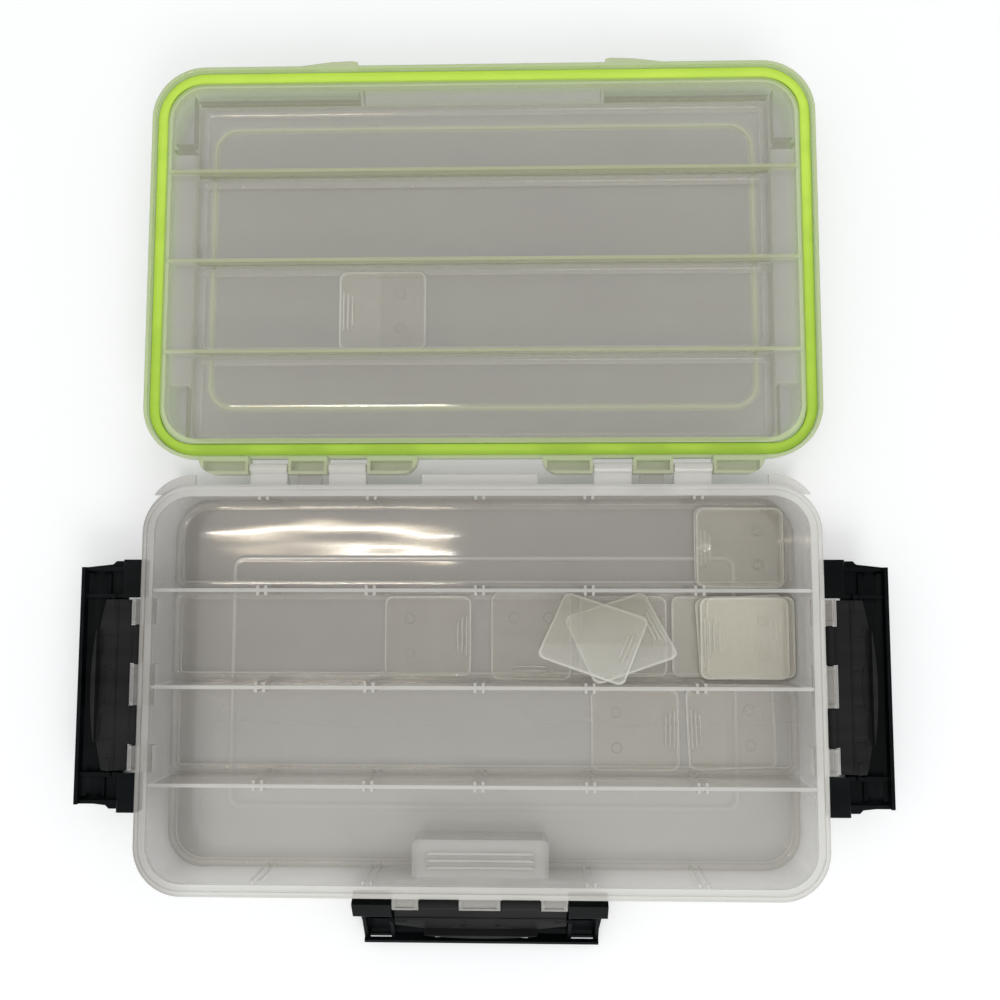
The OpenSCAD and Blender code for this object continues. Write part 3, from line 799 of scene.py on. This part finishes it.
@dataclass
class Seal:
    """The lime seal in the lid's groove: a strip with a soft, slightly crowned face."""

    material: bpy.types.Material
    crown: float = 0.25 * MM
    edge: float = 0.7 * MM
    steps: int = 6
    crown_steps: int = 9
    width_end: float = 5.6 * MM
    width_long: float = 6.1 * MM
    corner: float = 25.2 * MM
    corner_spare: float = 1.6 * MM

    def profile(self, half: float, low: float, high: float) -> Points:
        """Section of the seal: a flat back and two rounded shoulders joined by a shallow crown.

        Args:
            half: Half the seal's width.
            low: Height of its back.
            high: Height of its face.

        Returns:
            The closed section, clockwise seen with outwards to the right.
        """
        turn = np.linspace(0, QUARTER, self.steps)
        side = half - self.edge + self.edge * np.cos(turn)
        rise = high - self.crown - self.edge + self.edge * np.sin(turn)
        across = np.linspace(half - self.edge, self.edge - half, self.crown_steps)[1:-1]
        crown = high - self.crown * (across / (half - self.edge)) ** 2
        x = np.concatenate([[-half, half], side, across, -side[::-1]])
        z = np.concatenate([[low, low], rise, crown, rise[::-1]])
        return np.stack([x, z], -1)[::-1]

    def build(self) -> bpy.types.Object:
        """Sweeps the section round the groove, which the CAD seal's box gives.

        Each section point lies its share of the way from the strip's middle to its outer edge.

        Returns:
            The seal, which stands for the CAD one.
        """
        low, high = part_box("lid_seal")
        half_x, half_y = (high.x - low.x) / 2, (high.y - low.y) / 2
        outer, _ = round_loop(half_x, half_y, self.corner)
        inner, _ = round_loop(half_x - self.width_end, half_y - self.width_long,
                              self.corner - self.width_long - self.corner_spare)
        half = np.linalg.norm(outer - inner, axis=1).mean() / 2
        section = self.profile(half, low.z, high.z)
        middle = (outer + inner) / 2 + [(low.x + high.x) / 2, (low.y + high.y) / 2]
        share = section[:, 0] / half
        flat = middle[:, None, :] + (outer - inner)[:, None, :] / 2 * share[None, :, None]
        piece = make_piece("seal_strip", [carry(flat, section[:, 1])], self.material)
        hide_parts("lid_seal")
        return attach(piece, "lid")


@dataclass(frozen=True)
class Bay:
    """One long bay of the tray or lid: its middle, its half sizes and its corners."""

    middle_y: float
    half_x: float
    half_y: float
    back_corner: float
    front_corner: float

    def loop(self) -> tuple[Points, Points]:
        """Plan of the bay, each of whose two long sides has a corner radius of its own.

        Returns:
            Its points and outward directions.
        """
        back, back_out = round_loop(self.half_x, self.half_y, self.back_corner)
        front, front_out = round_loop(self.half_x, self.half_y, self.front_corner)
        behind = (np.arange(len(back)) < len(back) // 2)[:, None]
        return np.where(behind, back, front), np.where(behind, back_out, front_out)


@dataclass
class FloorFillets:
    """The rounded inside edge where the walls of each bay meet its floor."""

    name: str
    slot: str
    body: str
    material: bpy.types.Material
    bays: list[Bay]
    floor: float
    slopes: tuple[float, ...] = (0.0131, 0.0284)
    # Painted light: how much lighter the toe line is painted, in front and behind.
    line_in_front: float = 0.6
    line_behind: float = 0.12
    radius: float = 2.2 * MM
    sink: float = 0.2 * MM
    lift: float = 0.02 * MM
    steps: int = 12
    facet: float = 0.9 * MM
    facet_parts: tuple[float, ...] = (0.12, 0.76, 0.12)

    def profile(self) -> Points:
        """Section of a fillet: flat facets of growing slope, then an arc up to the wall.

        Returns:
            The closed section: x is how far outwards past the wall's face, z the height.
        """
        parts = [part * self.facet for part in self.facet_parts]
        run = np.array([0.0] + parts * len(self.slopes))
        rise = run * np.concatenate([[0.0], np.repeat(self.slopes, len(parts))])
        toe = np.stack([run.cumsum(), rise.cumsum()], -1)
        toe += [-self.radius - toe[-1, 0], self.floor + self.lift]
        first = self.slopes[-1]
        turn = np.linspace(first, QUARTER, self.steps)[1:]
        arc_x = -self.radius + self.radius * (np.sin(turn) - math.sin(first))
        arc_z = toe[-1, 1] + self.radius * (math.cos(first) - np.cos(turn))
        under = self.floor - self.sink
        back = [[self.sink, arc_z[-1]], [self.sink, under], [toe[0, 0], under]]
        return np.concatenate([toe, np.stack([arc_x, arc_z], -1), back])

    def build(self) -> bpy.types.Object:
        """Sweeps the section round each bay: loop point plus outward direction times x.

        Returns:
            The fillets, as one piece.
        """
        profile = self.profile()
        line = np.zeros(len(profile))
        line[1:len(self.facet_parts)] = 1.0
        sheets = []
        for bay in self.bays:
            points, out = bay.loop()
            flat = points[:, None, :] + out[:, None, :] * profile[None, :, :1]
            sheet = carry(flat + [0.0, bay.middle_y], profile[:, 1])
            # Painted light: a lighter line along the toe facets, stronger on the front side.
            behind = np.arange(len(points)) < len(points) // 2
            sheet.edge = np.where(behind, self.line_behind, self.line_in_front)[:, None] * line
            sheets.append(sheet)
        piece = make_piece(self.name, sheets, self.material)
        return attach(piece, self.body)


@dataclass
class PocketGrips:
    """The bright rounded crests of the three grip ribs on top of the finger pocket; their
    brightness is a painted highlight.
    """

    material: bpy.types.Material
    middle_y: float = -86.1 * MM
    pitch: float = 3.4 * MM
    half_length: float = 27.0 * MM
    half_width: float = 0.72 * MM
    foot: float = 21.1 * MM
    height: float = 0.95 * MM
    flat_under: float = -0.05
    stations: tuple[float, ...] = (-1.0, -0.99, -0.9, 0.9, 0.99, 1.0)
    shrinks: tuple[float, ...] = (0.02, 0.7, 1.0, 1.0, 0.7, 0.02)
    round_steps: int = 17

    def crest(self, y: float) -> Sheet:
        """One crest: half an ellipse across, drawn in towards both ends.

        Args:
            y: Where the rib stands.

        Returns:
            The closed crest, with a flat underside.
        """
        along, shrink = np.array(self.stations)[:, None], np.array(self.shrinks)[:, None]
        turn = np.linspace(0, FULL_TURN, self.round_steps)[None, :-1]
        return tube(self.half_length * along, y + self.half_width * np.cos(turn) * shrink,
                    self.foot + self.height * np.maximum(np.sin(turn), self.flat_under) * shrink)

    def build(self) -> bpy.types.Object:
        """Builds the three crests.

        Returns:
            The crests, as one piece that rides on the tray.
        """
        sheets = [self.crest(self.middle_y + i * self.pitch) for i in (-1, 0, 1)]
        piece = make_piece("pocket_grip_crests", sheets, self.material)
        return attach(piece, "tray")


@dataclass
class Divider:
    """A loose clear divider: a thin plate with soft edges, grip ribs and two mould marks.

    Each rib is given by its place along the plate and its length, in millimetres.
    """

    node: str
    body: str
    material: bpy.types.Material
    thickness: float = 1.3 * MM
    corner: float = 4.0 * MM
    edge: float = 0.35 * MM
    inner_rings: tuple[float, ...] = (0.001, 0.4, 0.8, 0.93, 0.955)
    inner_edges: tuple[float, ...] = (0.0, 0.0, 0.0, 0.0, 0.35)
    corner_steps: int = 8
    edge_steps: int = 7
    ribs: tuple[tuple[float, float], ...] = ((20.3, 23.0), (18.0, 20.0), (15.7, 17.0))
    rib_height: float = 0.35 * MM
    rib_width: float = 1.0 * MM
    rib_sink: float = 0.02 * MM
    rib_steps: tuple[int, int] = (15, 13)
    rib_taper: tuple[float, float] = (7.0, 0.02)
    rib_edge: float = 0.8
    marks: tuple[float, float, float] = (-9.5 * MM, 9.0 * MM, 2.6 * MM)
    mark_thin: float = 0.07 * MM
    mark_spread: float = 1.6
    mark_steps: tuple[int, int] = (29, 7)
    mark_edge: float = 0.12
    turn_step: float = 0.1
    same_depth: float = 0.05 * MM
    smooth: float = 0.9

    def seat(self) -> tuple[Points, Points, float, float]:
        """Finds how the CAD divider lies, from its own points.

        The thin direction is the one of least spread. In the plate's plane, the turn is the one
        whose box round the points is smallest. The grip ribs are on the side that fewer points
        reach, by the end that they are near to.

        Returns:
            The middle of the plate's underside, its axes as columns, and its two half sizes.
        """
        mesh = bpy.data.objects[self.node].data
        flat = np.zeros(len(mesh.vertices) * 3, np.float32)
        mesh.vertices.foreach_get("co", flat)
        points = np.unique(flat.reshape(-1, 3).astype(float).round(POINT_DECIMALS), axis=0)
        mean = points.mean(0)
        offset = points - mean
        axes = np.linalg.svd(offset, full_matrices=False)[2]
        up, depth = axes[2], offset @ axes[2]
        top = depth > depth.max() - self.same_depth
        if top.sum() > (depth < depth.min() + self.same_depth).sum():
            up, depth = -up, -depth
        first, second = axes[0], np.cross(up, axes[0])
        turns = np.radians(np.arange(0, 90, self.turn_step))
        u, v = (offset @ first)[:, None], (offset @ second)[:, None]
        along = u * np.cos(turns) + v * np.sin(turns)
        across = v * np.cos(turns) - u * np.sin(turns)
        best = turns[int((np.ptp(along, axis=0) * np.ptp(across, axis=0)).argmin())]
        x_axis = first * np.cos(best) + second * np.sin(best)
        y_axis = np.cross(up, x_axis)
        if np.ptp(offset @ x_axis) < np.ptp(offset @ y_axis):
            x_axis, y_axis = y_axis, -x_axis
        ribs = offset[depth > depth.max() - self.same_depth]
        x, y = offset @ x_axis, offset @ y_axis
        middle_x, middle_y = (x.max() + x.min()) / 2, (y.max() + y.min()) / 2
        origin = mean + x_axis * middle_x + y_axis * middle_y + up * depth.min()
        if (ribs @ x_axis).mean() < middle_x:
            x_axis, y_axis = -x_axis, -y_axis
        return origin, np.stack([x_axis, y_axis, up], -1), np.ptp(x) / 2, np.ptp(y) / 2

    def plate(self, half_x: float, half_y: float) -> Sheet:
        """The plate as rings that run from the middle of its underside, over its edge, to its top.

        Args:
            half_x: Half its length.
            half_y: Half its depth.

        Returns:
            The closed surface, which ends in a point on each side.
        """
        outline, _ = round_loop(half_x, half_y, self.corner, self.corner_steps)
        turn = np.linspace(-QUARTER, QUARTER, self.edge_steps)
        inset = self.edge * (1 - np.cos(turn))
        base = np.where(turn > 0, self.thickness - self.edge, self.edge)
        rings = np.repeat(np.array(self.inner_rings)[:, None], 2, 1)
        shrink = np.stack([1 - inset / half_x, 1 - inset / half_y], -1)
        share = np.concatenate([rings, shrink, rings[::-1]])
        level = np.concatenate([np.zeros(len(rings)), base + self.edge * np.sin(turn),
                                np.full(len(rings), self.thickness)])
        flat = outline[None, :, :] * share[:, None, :]
        rise = np.broadcast_to(level[:, None, None], (*flat.shape[:2], 1))
        edge = np.concatenate([self.inner_edges, np.ones(len(turn)), self.inner_edges[::-1]])
        return Sheet(np.concatenate([flat, rise], -1), closed_columns=True,
                     edge=np.broadcast_to(edge[:, None], flat.shape[:2]))

    def ridge(self, x: float, length: float) -> Sheet:
        """A low grip rib: half an ellipse across, faded to nothing at both ends.

        Args:
            x: Where it stands on the plate.
            length: Its length.

        Returns:
            The rib's surface, with its foot just inside the plate.
        """
        steep, least = self.rib_taper
        along = np.linspace(1, -1, self.rib_steps[0])[:, None]
        turn = np.linspace(0, FULL_TURN, self.rib_steps[1])[None, :-1]
        fade = np.clip((1 - np.abs(along)) * steep, least, 1) ** 0.5
        rise = self.rib_height * np.sin(turn) * fade * (np.sin(turn) > 0)
        return tube(x + self.rib_width / 2 * np.cos(turn) * fade, along * length / 2,
                    self.thickness - self.rib_sink + rise, edge=self.rib_edge)

    def mark(self, x: float, y: float, radius: float) -> Sheet:
        """The ring that a mould's ejector pin leaves: a thin torus, half sunk in the plate's top.

        Args:
            x: Its place along the plate.
            y: Its place across the plate.
            radius: Its radius.

        Returns:
            The ring.
        """
        turn = np.linspace(0, FULL_TURN, self.mark_steps[0])[:-1, None]
        round_tube = np.linspace(0, FULL_TURN, self.mark_steps[1])[None, :-1]
        reach = radius + self.mark_thin * self.mark_spread * np.cos(round_tube)
        return tube(x + reach * np.cos(turn), y + reach * np.sin(turn),
                    self.thickness + self.mark_thin * np.sin(round_tube), True, self.mark_edge)

    def build(self) -> bpy.types.Object:
        """Builds the plate where the CAD divider lies.

        Returns:
            The divider, which stands for the CAD one.
        """
        origin, axes, half_x, half_y = self.seat()
        x, y, radius = self.marks
        sheets = [self.plate(half_x, half_y)]
        sheets += [self.ridge(place * MM, length * MM) for place, length in self.ribs]
        sheets += [self.mark(x, y, radius), self.mark(x, -y, radius)]
        for sheet in sheets:
            sheet.grid = origin + sheet.grid @ axes.T
        piece = make_piece(self.node + "_plate", sheets, self.material, self.smooth)
        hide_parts(self.node)
        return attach(piece, self.body)


@dataclass
class LatchTrim:
    """The moulded relief on a latch: a thumb lens and facets on its hook, a curved lever.

    The facets are given by their places along the latch, in millimetres.
    """

    side: Side
    joints: dict[str, dict]
    hook: bpy.types.Material
    lever: bpy.types.Material
    pad_top: float = 1.5 * MM
    pad_outer: float = 18.9 * MM
    pad_bow: float = 3.4 * MM
    pad_half: float = 42.7 * MM
    lens_half: float = 16.5 * MM
    lens_inner: float = 14.6 * MM
    lens_height: float = 0.7 * MM
    lens_lift: float = 0.42
    lens_sink: float = 0.72
    lens_shore: float = 9.0
    lens_blunt: float = 0.25
    lens_gap: float = 0.25 * MM
    lens_steps: tuple[int, int] = (41, 17)
    facets: tuple[float, ...] = (-34.6, -17.3, 0.0, 17.3, 34.6)
    facet_inner: float = 10.6 * MM
    facet_gap: float = 0.6 * MM
    facet_height: float = 0.28 * MM
    facet_width: float = 15.6 * MM
    facet_fade: tuple[float, float] = (10.0, 0.05)
    facet_square: float = 0.6
    facet_steps: tuple[int, int] = (9, 25)
    cover_face: float = -3.0 * MM
    trough_inner: float = 15.4 * MM
    trough_outer: float = 27.0 * MM
    trough_rise: float = 1.5 * MM
    trough_half: float = 57.0 * MM
    trough_back: float = 0.4 * MM
    trough_stations: tuple[float, ...] = (-1, -0.985, -0.5, 0, 0.5, 0.985, 1)
    trough_steps: int = 21

    def seat(self) -> tuple[Points, Points]:
        """Frame of this latch, from its two hinges.

        Returns:
            A point on the latch's axis, and its axes as columns: outwards, along, up.
        """
        hook = self.joints[f"{self.side.value}_hook_hinge"]
        lever = self.joints[f"{self.side.value}_lever_hinge"]
        origin = np.array(hook["pos_m"], float)
        outwards = np.array(lever["pos_m"], float) - origin
        outwards /= np.linalg.norm(outwards)
        along = np.array(hook["axis"], float)
        return origin, np.stack([outwards, along, np.cross(outwards, along)], -1)

    def pad_edge(self, along: Points) -> Points:
        """The pad's bowed outer edge, a parabola that stands for its long arc."""
        return self.pad_outer - self.pad_bow * (along / self.pad_half) ** 2

    def lens(self) -> Sheet:
        """The thumb lens: a facet that falls away from its bowed inner edge to the pad's edge.

        With s along and v across, both edges are parabolas in s. The face's height is
        (1 - v) (1 - s**2), with a short shore at v = 0.

        Returns:
            The lens, closed by an underside that is sunk in the pad.
        """
        s = np.linspace(-1, 1, self.lens_steps[0])[:, None]
        v = np.linspace(0, 2, self.lens_steps[1])[None, :-1]
        outer = self.pad_edge(s * self.lens_half) - self.lens_gap
        inner = self.lens_inner + (outer[-1] - self.lens_inner) * s**2
        share = np.where(v <= 1, v, 2 - v)
        face = (1 - v) * np.clip(v * self.lens_shore, 0, 1) * (1 - s**2)
        under = -self.lens_sink * (1 - s**2) ** self.lens_blunt
        swell = np.where(v <= 1, face, under) + self.lens_lift
        return tube(inner + (outer - inner) * share, s * self.lens_half,
                    self.pad_top + self.lens_height * swell)

    def facet(self, place: float) -> Sheet:
        """A broad low facet across the pad: half a flattened ellipse, from its start to its edge.

        Args:
            place: Where it is along the latch.

        Returns:
            The facet, with its foot in the pad.
        """
        steep, least = self.facet_fade
        reach = self.pad_edge(np.array(place)) - self.facet_gap
        along = np.linspace(0, 1, self.facet_steps[0])[:, None]
        turn = np.linspace(0, FULL_TURN, self.facet_steps[1])[None, :-1]
        fade = np.clip(np.minimum(along, 1 - along) * steep, least, 1)
        flat = np.sign(np.sin(turn)) * np.abs(np.sin(turn)) ** self.facet_square
        return tube(self.facet_inner + (reach - self.facet_inner) * along,
                    place + self.facet_width / 2 * np.cos(turn),
                    self.pad_top + self.facet_height * flat * fade)

    def trough(self) -> Sheet:
        """The curved inside of the lever's cover: its height is a parabola across the lever.

        Returns:
            The trough, closed by a flat back inside the cover.
        """
        r = np.linspace(self.trough_inner, self.trough_outer, self.trough_steps)
        middle = (self.trough_inner + self.trough_outer) / 2
        half = (self.trough_outer - self.trough_inner) / 2
        face = self.cover_face + self.trough_rise * ((r - middle) / half) ** 2
        back = np.full_like(face, self.cover_face - self.trough_back)
        s = np.array(self.trough_stations)[:, None] * self.trough_half
        inside = np.abs(s) < self.trough_half
        height = np.where(inside, np.concatenate([face, back])[None, :],
                          self.cover_face - self.trough_back / 2)
        return tube(np.concatenate([r, r[::-1]])[None, :], s, height)

    def seated(self, name: str, sheets: list[Sheet],
               material: bpy.types.Material) -> bpy.types.Object:
        """Seats sheets on this latch and makes them one piece.

        Args:
            name: The piece's name, after its side.
            sheets: Its surfaces in the latch's own frame.
            material: Its finish.

        Returns:
            The piece.
        """
        origin, axes = self.seat()
        for sheet in sheets:
            sheet.grid = origin + sheet.grid @ axes.T
        return make_piece(f"{self.side.value}_{name}", sheets, material)

    def build_relief(self) -> bpy.types.Object:
        """Builds the relief on the hook plate.

        Returns:
            The relief, which rides on the hook.
        """
        facets = [self.facet(place * MM) for place in self.facets]
        piece = self.seated("latch_relief", [self.lens(), *facets], self.hook)
        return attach(piece, f"{self.side.value}_hook")

    def build_trough(self) -> bpy.types.Object:
        """Builds the lever's curved inside.

        Returns:
            The trough, which rides on the lever.
        """
        piece = self.seated("lever_trough", [self.trough()], self.lever)
        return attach(piece, f"{self.side.value}_lever")


# ---------------------------------------------------------------- the box


@dataclass
class TackleBox:
    """The whole box: dresses the CAD nodes and adds the pieces made here."""

    effects: SharedEffects
    frame: dict
    half_x: float = 162.4 * MM
    half_y: float = 94.2 * MM
    corner: float = 18.2 * MM
    square: float = 5.4 * MM
    floor: float = 2.2 * MM
    partition: float = 1.8 * MM
    rows: int = 4
    lid_half_x: float = 149.4 * MM
    lid_floor: float = 20.2 * MM
    lid_bays: tuple[tuple[float, float], ...] = (
        (124.2, 168.15), (169.95, 215.7), (217.5, 263.25), (265.05, 302.4))
    lid_slopes: tuple[float, float] = (0.08, 0.27)
    lid_line: float = 0.3
    leaning: tuple[int, ...] = (4, 5)
    stacked: tuple[int, ...] = (6, 7, 8, 9)

    @staticmethod
    def finishes() -> dict[str, Finish]:
        """The finish of each material slot, and of the pieces with a look of their own.

        Returns:
            Name to finish.
        """
        lid_middle = 216.6 * MM
        clear = MilkyPlastic(
            "clear_divider", tone(226, 219, 194), tone(246, 244, 234), roughness=0.05,
            waves=0.6 * MM, sheet=0.1, thick=0.38, grazing=0.15, edge_radius=0.4 * MM, ior=2.7,
            scuffed=0.8, edge_name=EDGE_LAYER)
        return {
            "tray_plastic": MilkyPlastic(
                "milky_tray", tone(184, 176, 166), tone(230, 228, 221), roughness=0.035,
                # Painted light and shade: lighter towards the front, darker at the left end.
                painted_front_light=(40 * MM, -80 * MM), waves=0.6 * MM, sheet=0.40, thick=0.56, grazing=0.25,
                scuffed=0.9, band=(33.6 * MM, 35.2 * MM),
                panel=Panel(131.3 * MM, 64.3 * MM, 5.0 * MM, 0.0, 1.7 * MM, 0.03 * MM, 4 * MM)),
            "lid_plastic": MilkyPlastic(
                "milky_lid", tone(138, 131, 114), tone(202, 208, 160), roughness=0.04,
                upright=0.6, waves=0.4 * MM, sheet=0.42, thick=0.6, grazing=0.25, scuffed=0.7,
                # Painted light: a lime glow near the seal.
                glow=Panel(166.6 * MM, 98.1 * MM, 24.0 * MM, lid_middle, 11.0 * MM),
                band=(27.0 * MM, 28.6 * MM), band_share=0.85,
                panel=Panel(141.5 * MM, 75.0 * MM, 12.0 * MM, lid_middle, 2.6 * MM,
                            0.145 * MM, 24.5 * MM)),
            "divider": clear,
            # Painted light: the leaning and piled dividers are lighter copies of the clear
            # divider's finish.
            "leaning": replace(clear, name="clear_divider_lit", sheet=0.21, thick=0.5,
                               deep=tone(240, 238, 222)),
            "stacked": replace(clear, name="clear_divider_piled", sheet=0.25, thick=0.5,
                               deep=tone(244, 238, 216)),
            # Painted light: the fillets are painted lighter than the tray and lid, so no shade
            # gathers where walls meet floors.
            "fillet": MilkyPlastic(
                "milky_fillet", tone(220, 216, 206), tone(240, 238, 230), roughness=0.04,
                sheet=0.32, thick=0.62, grazing=0.2, edge_gain=0.5, edge_radius=0.2 * MM,
                waves=0.3 * MM, edge_name=EDGE_LAYER),
            # Painted highlight: the grip crests are painted near white.
            "crest": MilkyPlastic(
                "milky_crest", tone(236, 234, 228), tone(250, 249, 246), roughness=0.06,
                sheet=0.6, thick=0.8, edge_radius=0.2 * MM),
            "seal": SealRubber(
                "lime_seal", tone(152, 194, 56), tone(220, 252, 100), roughness=0.45, gloss=0.3,
                grain=0.008 * MM),
            "hook": DarkPlastic(
                "hook_grey", tone(27, 28, 27), tone(88, 90, 87), roughness=0.45, gloss=0.1,
                grain=0.012 * MM),
            "lever": DarkPlastic(
                "lever_black", tone(5, 8, 9), tone(56, 62, 64), roughness=0.26, gloss=0.06,
                grain=0.01 * MM, rubbed=0.35),
        }

    def build(self) -> list[bpy.types.Object]:
        """Dresses every node and adds the pieces.

        Returns:
            The pieces.
        """
        materials = {name: finish.build(self.effects) for name, finish in self.finishes().items()}
        slots = {part["node"]: part["material_slot"] for part in self.frame["record"]["subparts"]}
        joints = {joint["name"]: joint for joint in self.frame["joints"]}
        for name, node in self.frame["nodes"].items():
            for place in node.material_slots:
                place.material = materials[slots[name]]
            LOG.info("%s dressed as %s", name, slots[name])
        pieces = [Seal(materials["seal"]).build(), PocketGrips(materials["crest"]).build()]
        pieces += self.fillets(materials["fillet"])
        looks = {f"second_row_divider_{i}": "leaning" for i in self.leaning}
        looks |= {f"second_row_divider_{i}": "stacked" for i in self.stacked}
        for name in sorted(n for n, slot in slots.items() if slot == "divider"):
            look = materials[looks.get(name, "divider")]
            pieces.append(Divider(name, name, look).build())
        for side in Side:
            trim = LatchTrim(side, joints, materials["hook"], materials["lever"])
            pieces += [trim.build_relief(), trim.build_trough()]
        return pieces

    def fillets(self, material: bpy.types.Material) -> list[bpy.types.Object]:
        """Rounds the floor edges of the tray's four rows and of the lid's four bays.

        Args:
            material: The fillets' finish.

        Returns:
            The tray's fillets and the lid's.
        """
        pitch = (2 * self.half_y + self.partition) / self.rows
        half_row = (pitch - self.partition) / 2
        tray = [Bay(self.half_y - half_row - row * pitch, self.half_x, half_row,
                    self.corner if row == 0 else self.square,
                    self.corner if row == self.rows - 1 else self.square)
                for row in range(self.rows)]
        lid = [Bay((low + high) / 2 * MM, self.lid_half_x, (high - low) / 2 * MM,
                   self.square, self.square) for low, high in self.lid_bays]
        return [
            FloorFillets("tray_floor_fillets", "tray_plastic", "tray", material, tray,
                         self.floor).build(),
            FloorFillets("lid_roof_fillets", "lid_plastic", "lid", material, lid, self.lid_floor,
                         self.lid_slopes, self.lid_line).build()]


# ---------------------------------------------------------------- studio


@dataclass(frozen=True)
class Lamp:
    """A soft rectangular lamp: where it hangs, its two sides, its power and its colour."""

    name: str
    place: tuple[float, float, float]
    size: tuple[float, float]
    power: float
    colour: Colour = (1.0, 1.0, 1.0)
    aim: tuple[float, float, float] | None = None

    def build(self) -> None:
        """Hangs the lamp, which shines straight down unless it is aimed."""
        data = bpy.data.lights.new(self.name, "AREA")
        data.shape = "RECTANGLE"
        data.size, data.size_y = self.size
        data.energy, data.color = self.power, self.colour
        lamp = bpy.data.objects.new(self.name, data)
        lamp.location = self.place
        ray = Vector(self.aim) - Vector(self.place) if self.aim else Vector((0, 0, -1))
        lamp.rotation_euler = ray.to_track_quat("-Z", "Y").to_euler()
        bpy.context.scene.collection.objects.link(lamp)


@dataclass
class Studio:
    """Plain pale floor, soft light and the photograph's camera."""

    camera_place: tuple[float, float, float] = (0.0238, 0.0487, 0.5307)
    camera_turn: tuple[float, float, float] = (5.03, 1.58, 0.06)
    camera_reach: tuple[float, float] = (0.01, 50.0)
    focal_px: float = 1001.0
    image_px: float = 1000.0
    sensor: float = 36.0
    sky_tone: Colour = (0.97, 0.985, 1.0)
    sky_light: float = 0.72
    table_tone: Colour = (0.86, 0.865, 0.87)
    table_roughness: float = 0.9
    table_glow: Colour = (0.26, 0.26, 0.26)
    table_half: float = 6.0
    table_height: float = -0.15 * MM
    under_tray: tuple[float, float] = (165 * MM, 108 * MM)
    under_middle: float = 7 * MM
    under_edge: tuple[float, float] = (-12 * MM, 4 * MM)
    transparent_bounces: int = 40
    lamps: tuple[Lamp, ...] = (
        Lamp("strip", (-0.47, 0.172, 2.0), (0.62, 0.012), 0.9),
        Lamp("strip_glow", (-0.47, 0.172, 2.0), (0.60, 0.05), 0.8, (1.0, 0.78, 0.42)),
        Lamp("window", (0.8, -2.0, 1.9), (1.6, 1.2), 20.0, aim=(0.0, 0.1, 0.0)))

    def camera(self) -> None:
        """Places the camera, whose field of view is that of the photograph."""
        data = bpy.data.cameras.new("camera")
        data.sensor_width = self.sensor
        data.lens = self.sensor * self.focal_px / self.image_px
        data.clip_start, data.clip_end = self.camera_reach
        camera = bpy.data.objects.new("camera", data)
        camera.location = self.camera_place
        camera.rotation_euler = Euler([math.radians(a) for a in self.camera_turn])
        bpy.context.scene.collection.objects.link(camera)
        bpy.context.scene.camera = camera

    @staticmethod
    def background(graph: Graph) -> Socket:
        """Gives 1 for rays that see the background, 0 for those that light the object.

        Args:
            graph: The world's or the floor's graph.

        Returns:
            A socket that is 1 for camera, glossy and transmission rays.
        """
        path = graph.add("LightPath").outputs
        seen = graph.sum("MAXIMUM", path["Is Camera Ray"], path["Is Glossy Ray"])
        return graph.sum("MAXIMUM", seen, path["Is Transmission Ray"])

    def world(self) -> None:
        """An even pale surround that lights softly, and is white to the camera."""
        world = bpy.data.worlds.new("surround")
        bpy.context.scene.world = world
        world.use_nodes = True
        graph = Graph(world.node_tree)
        back = world.node_tree.nodes["Background"]
        back.inputs["Color"].default_value = (*self.sky_tone, 1.0)
        strength = graph.sum("MULTIPLY_ADD", self.background(graph), 1.0 - self.sky_light,
                             self.sky_light)
        graph.feed(back.inputs["Strength"], strength)

    def floor(self) -> None:
        """A pale table that keeps the box's shadow and is white to the camera elsewhere.

        Its glow for the camera is off under the tray: it rises with the larger of |x| - a and
        |y - middle| - b, where a and b are the tray's half sizes.
        """
        sign = np.array([[-1, -1], [1, -1], [1, 1], [-1, 1]])
        points = np.column_stack([sign * self.table_half, np.full(len(sign), self.table_height)])
        mesh = bpy.data.meshes.new("table")
        mesh.from_pydata(points.tolist(), [], [[0, 1, 2, 3]])
        table = bpy.data.objects.new("table", mesh)
        bpy.context.scene.collection.objects.link(table)
        material = bpy.data.materials.new("pale_table")
        material.use_nodes = True
        graph = Graph(material.node_tree)
        shader = material.node_tree.nodes["Principled BSDF"]
        shader.inputs["Base Color"].default_value = (*self.table_tone, 1.0)
        shader.inputs["Roughness"].default_value = self.table_roughness
        shader.inputs["Specular IOR Level"].default_value = 0.0
        from_middle = graph.sum("SUBTRACT", graph.axis("Y"), self.under_middle)
        over = [graph.sum("SUBTRACT", graph.sum("ABSOLUTE", place), half)
                for place, half in zip((graph.axis("X"), from_middle), self.under_tray)]
        clear = graph.step(graph.sum("MAXIMUM", *over), *self.under_edge)
        seen = graph.times(self.background(graph), clear)
        glow = graph.blend(seen, (0.0, 0.0, 0.0), self.table_glow)
        graph.feed(shader.inputs["Emission Color"], glow)
        shader.inputs["Emission Strength"].default_value = 1.0
        mesh.materials.append(material)

    def build(self) -> None:
        """Sets up the camera, the world, the table and the lamps."""
        scene = bpy.context.scene
        scene.view_settings.view_transform = "Standard"
        scene.cycles.transparent_max_bounces = self.transparent_bounces
        self.camera()
        self.world()
        self.floor()
        for lamp in self.lamps:
            lamp.build()


def main() -> None:
    """Loads the frame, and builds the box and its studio."""
    logging.basicConfig(level=logging.INFO, format="%(message)s")
    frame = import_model()
    for piece in TackleBox(SharedEffects(), frame).build():
        LOG.info("%s: %d faces", piece.name, len(piece.data.polygons))
    Studio().build()


if __name__ == "__main__":
    main()
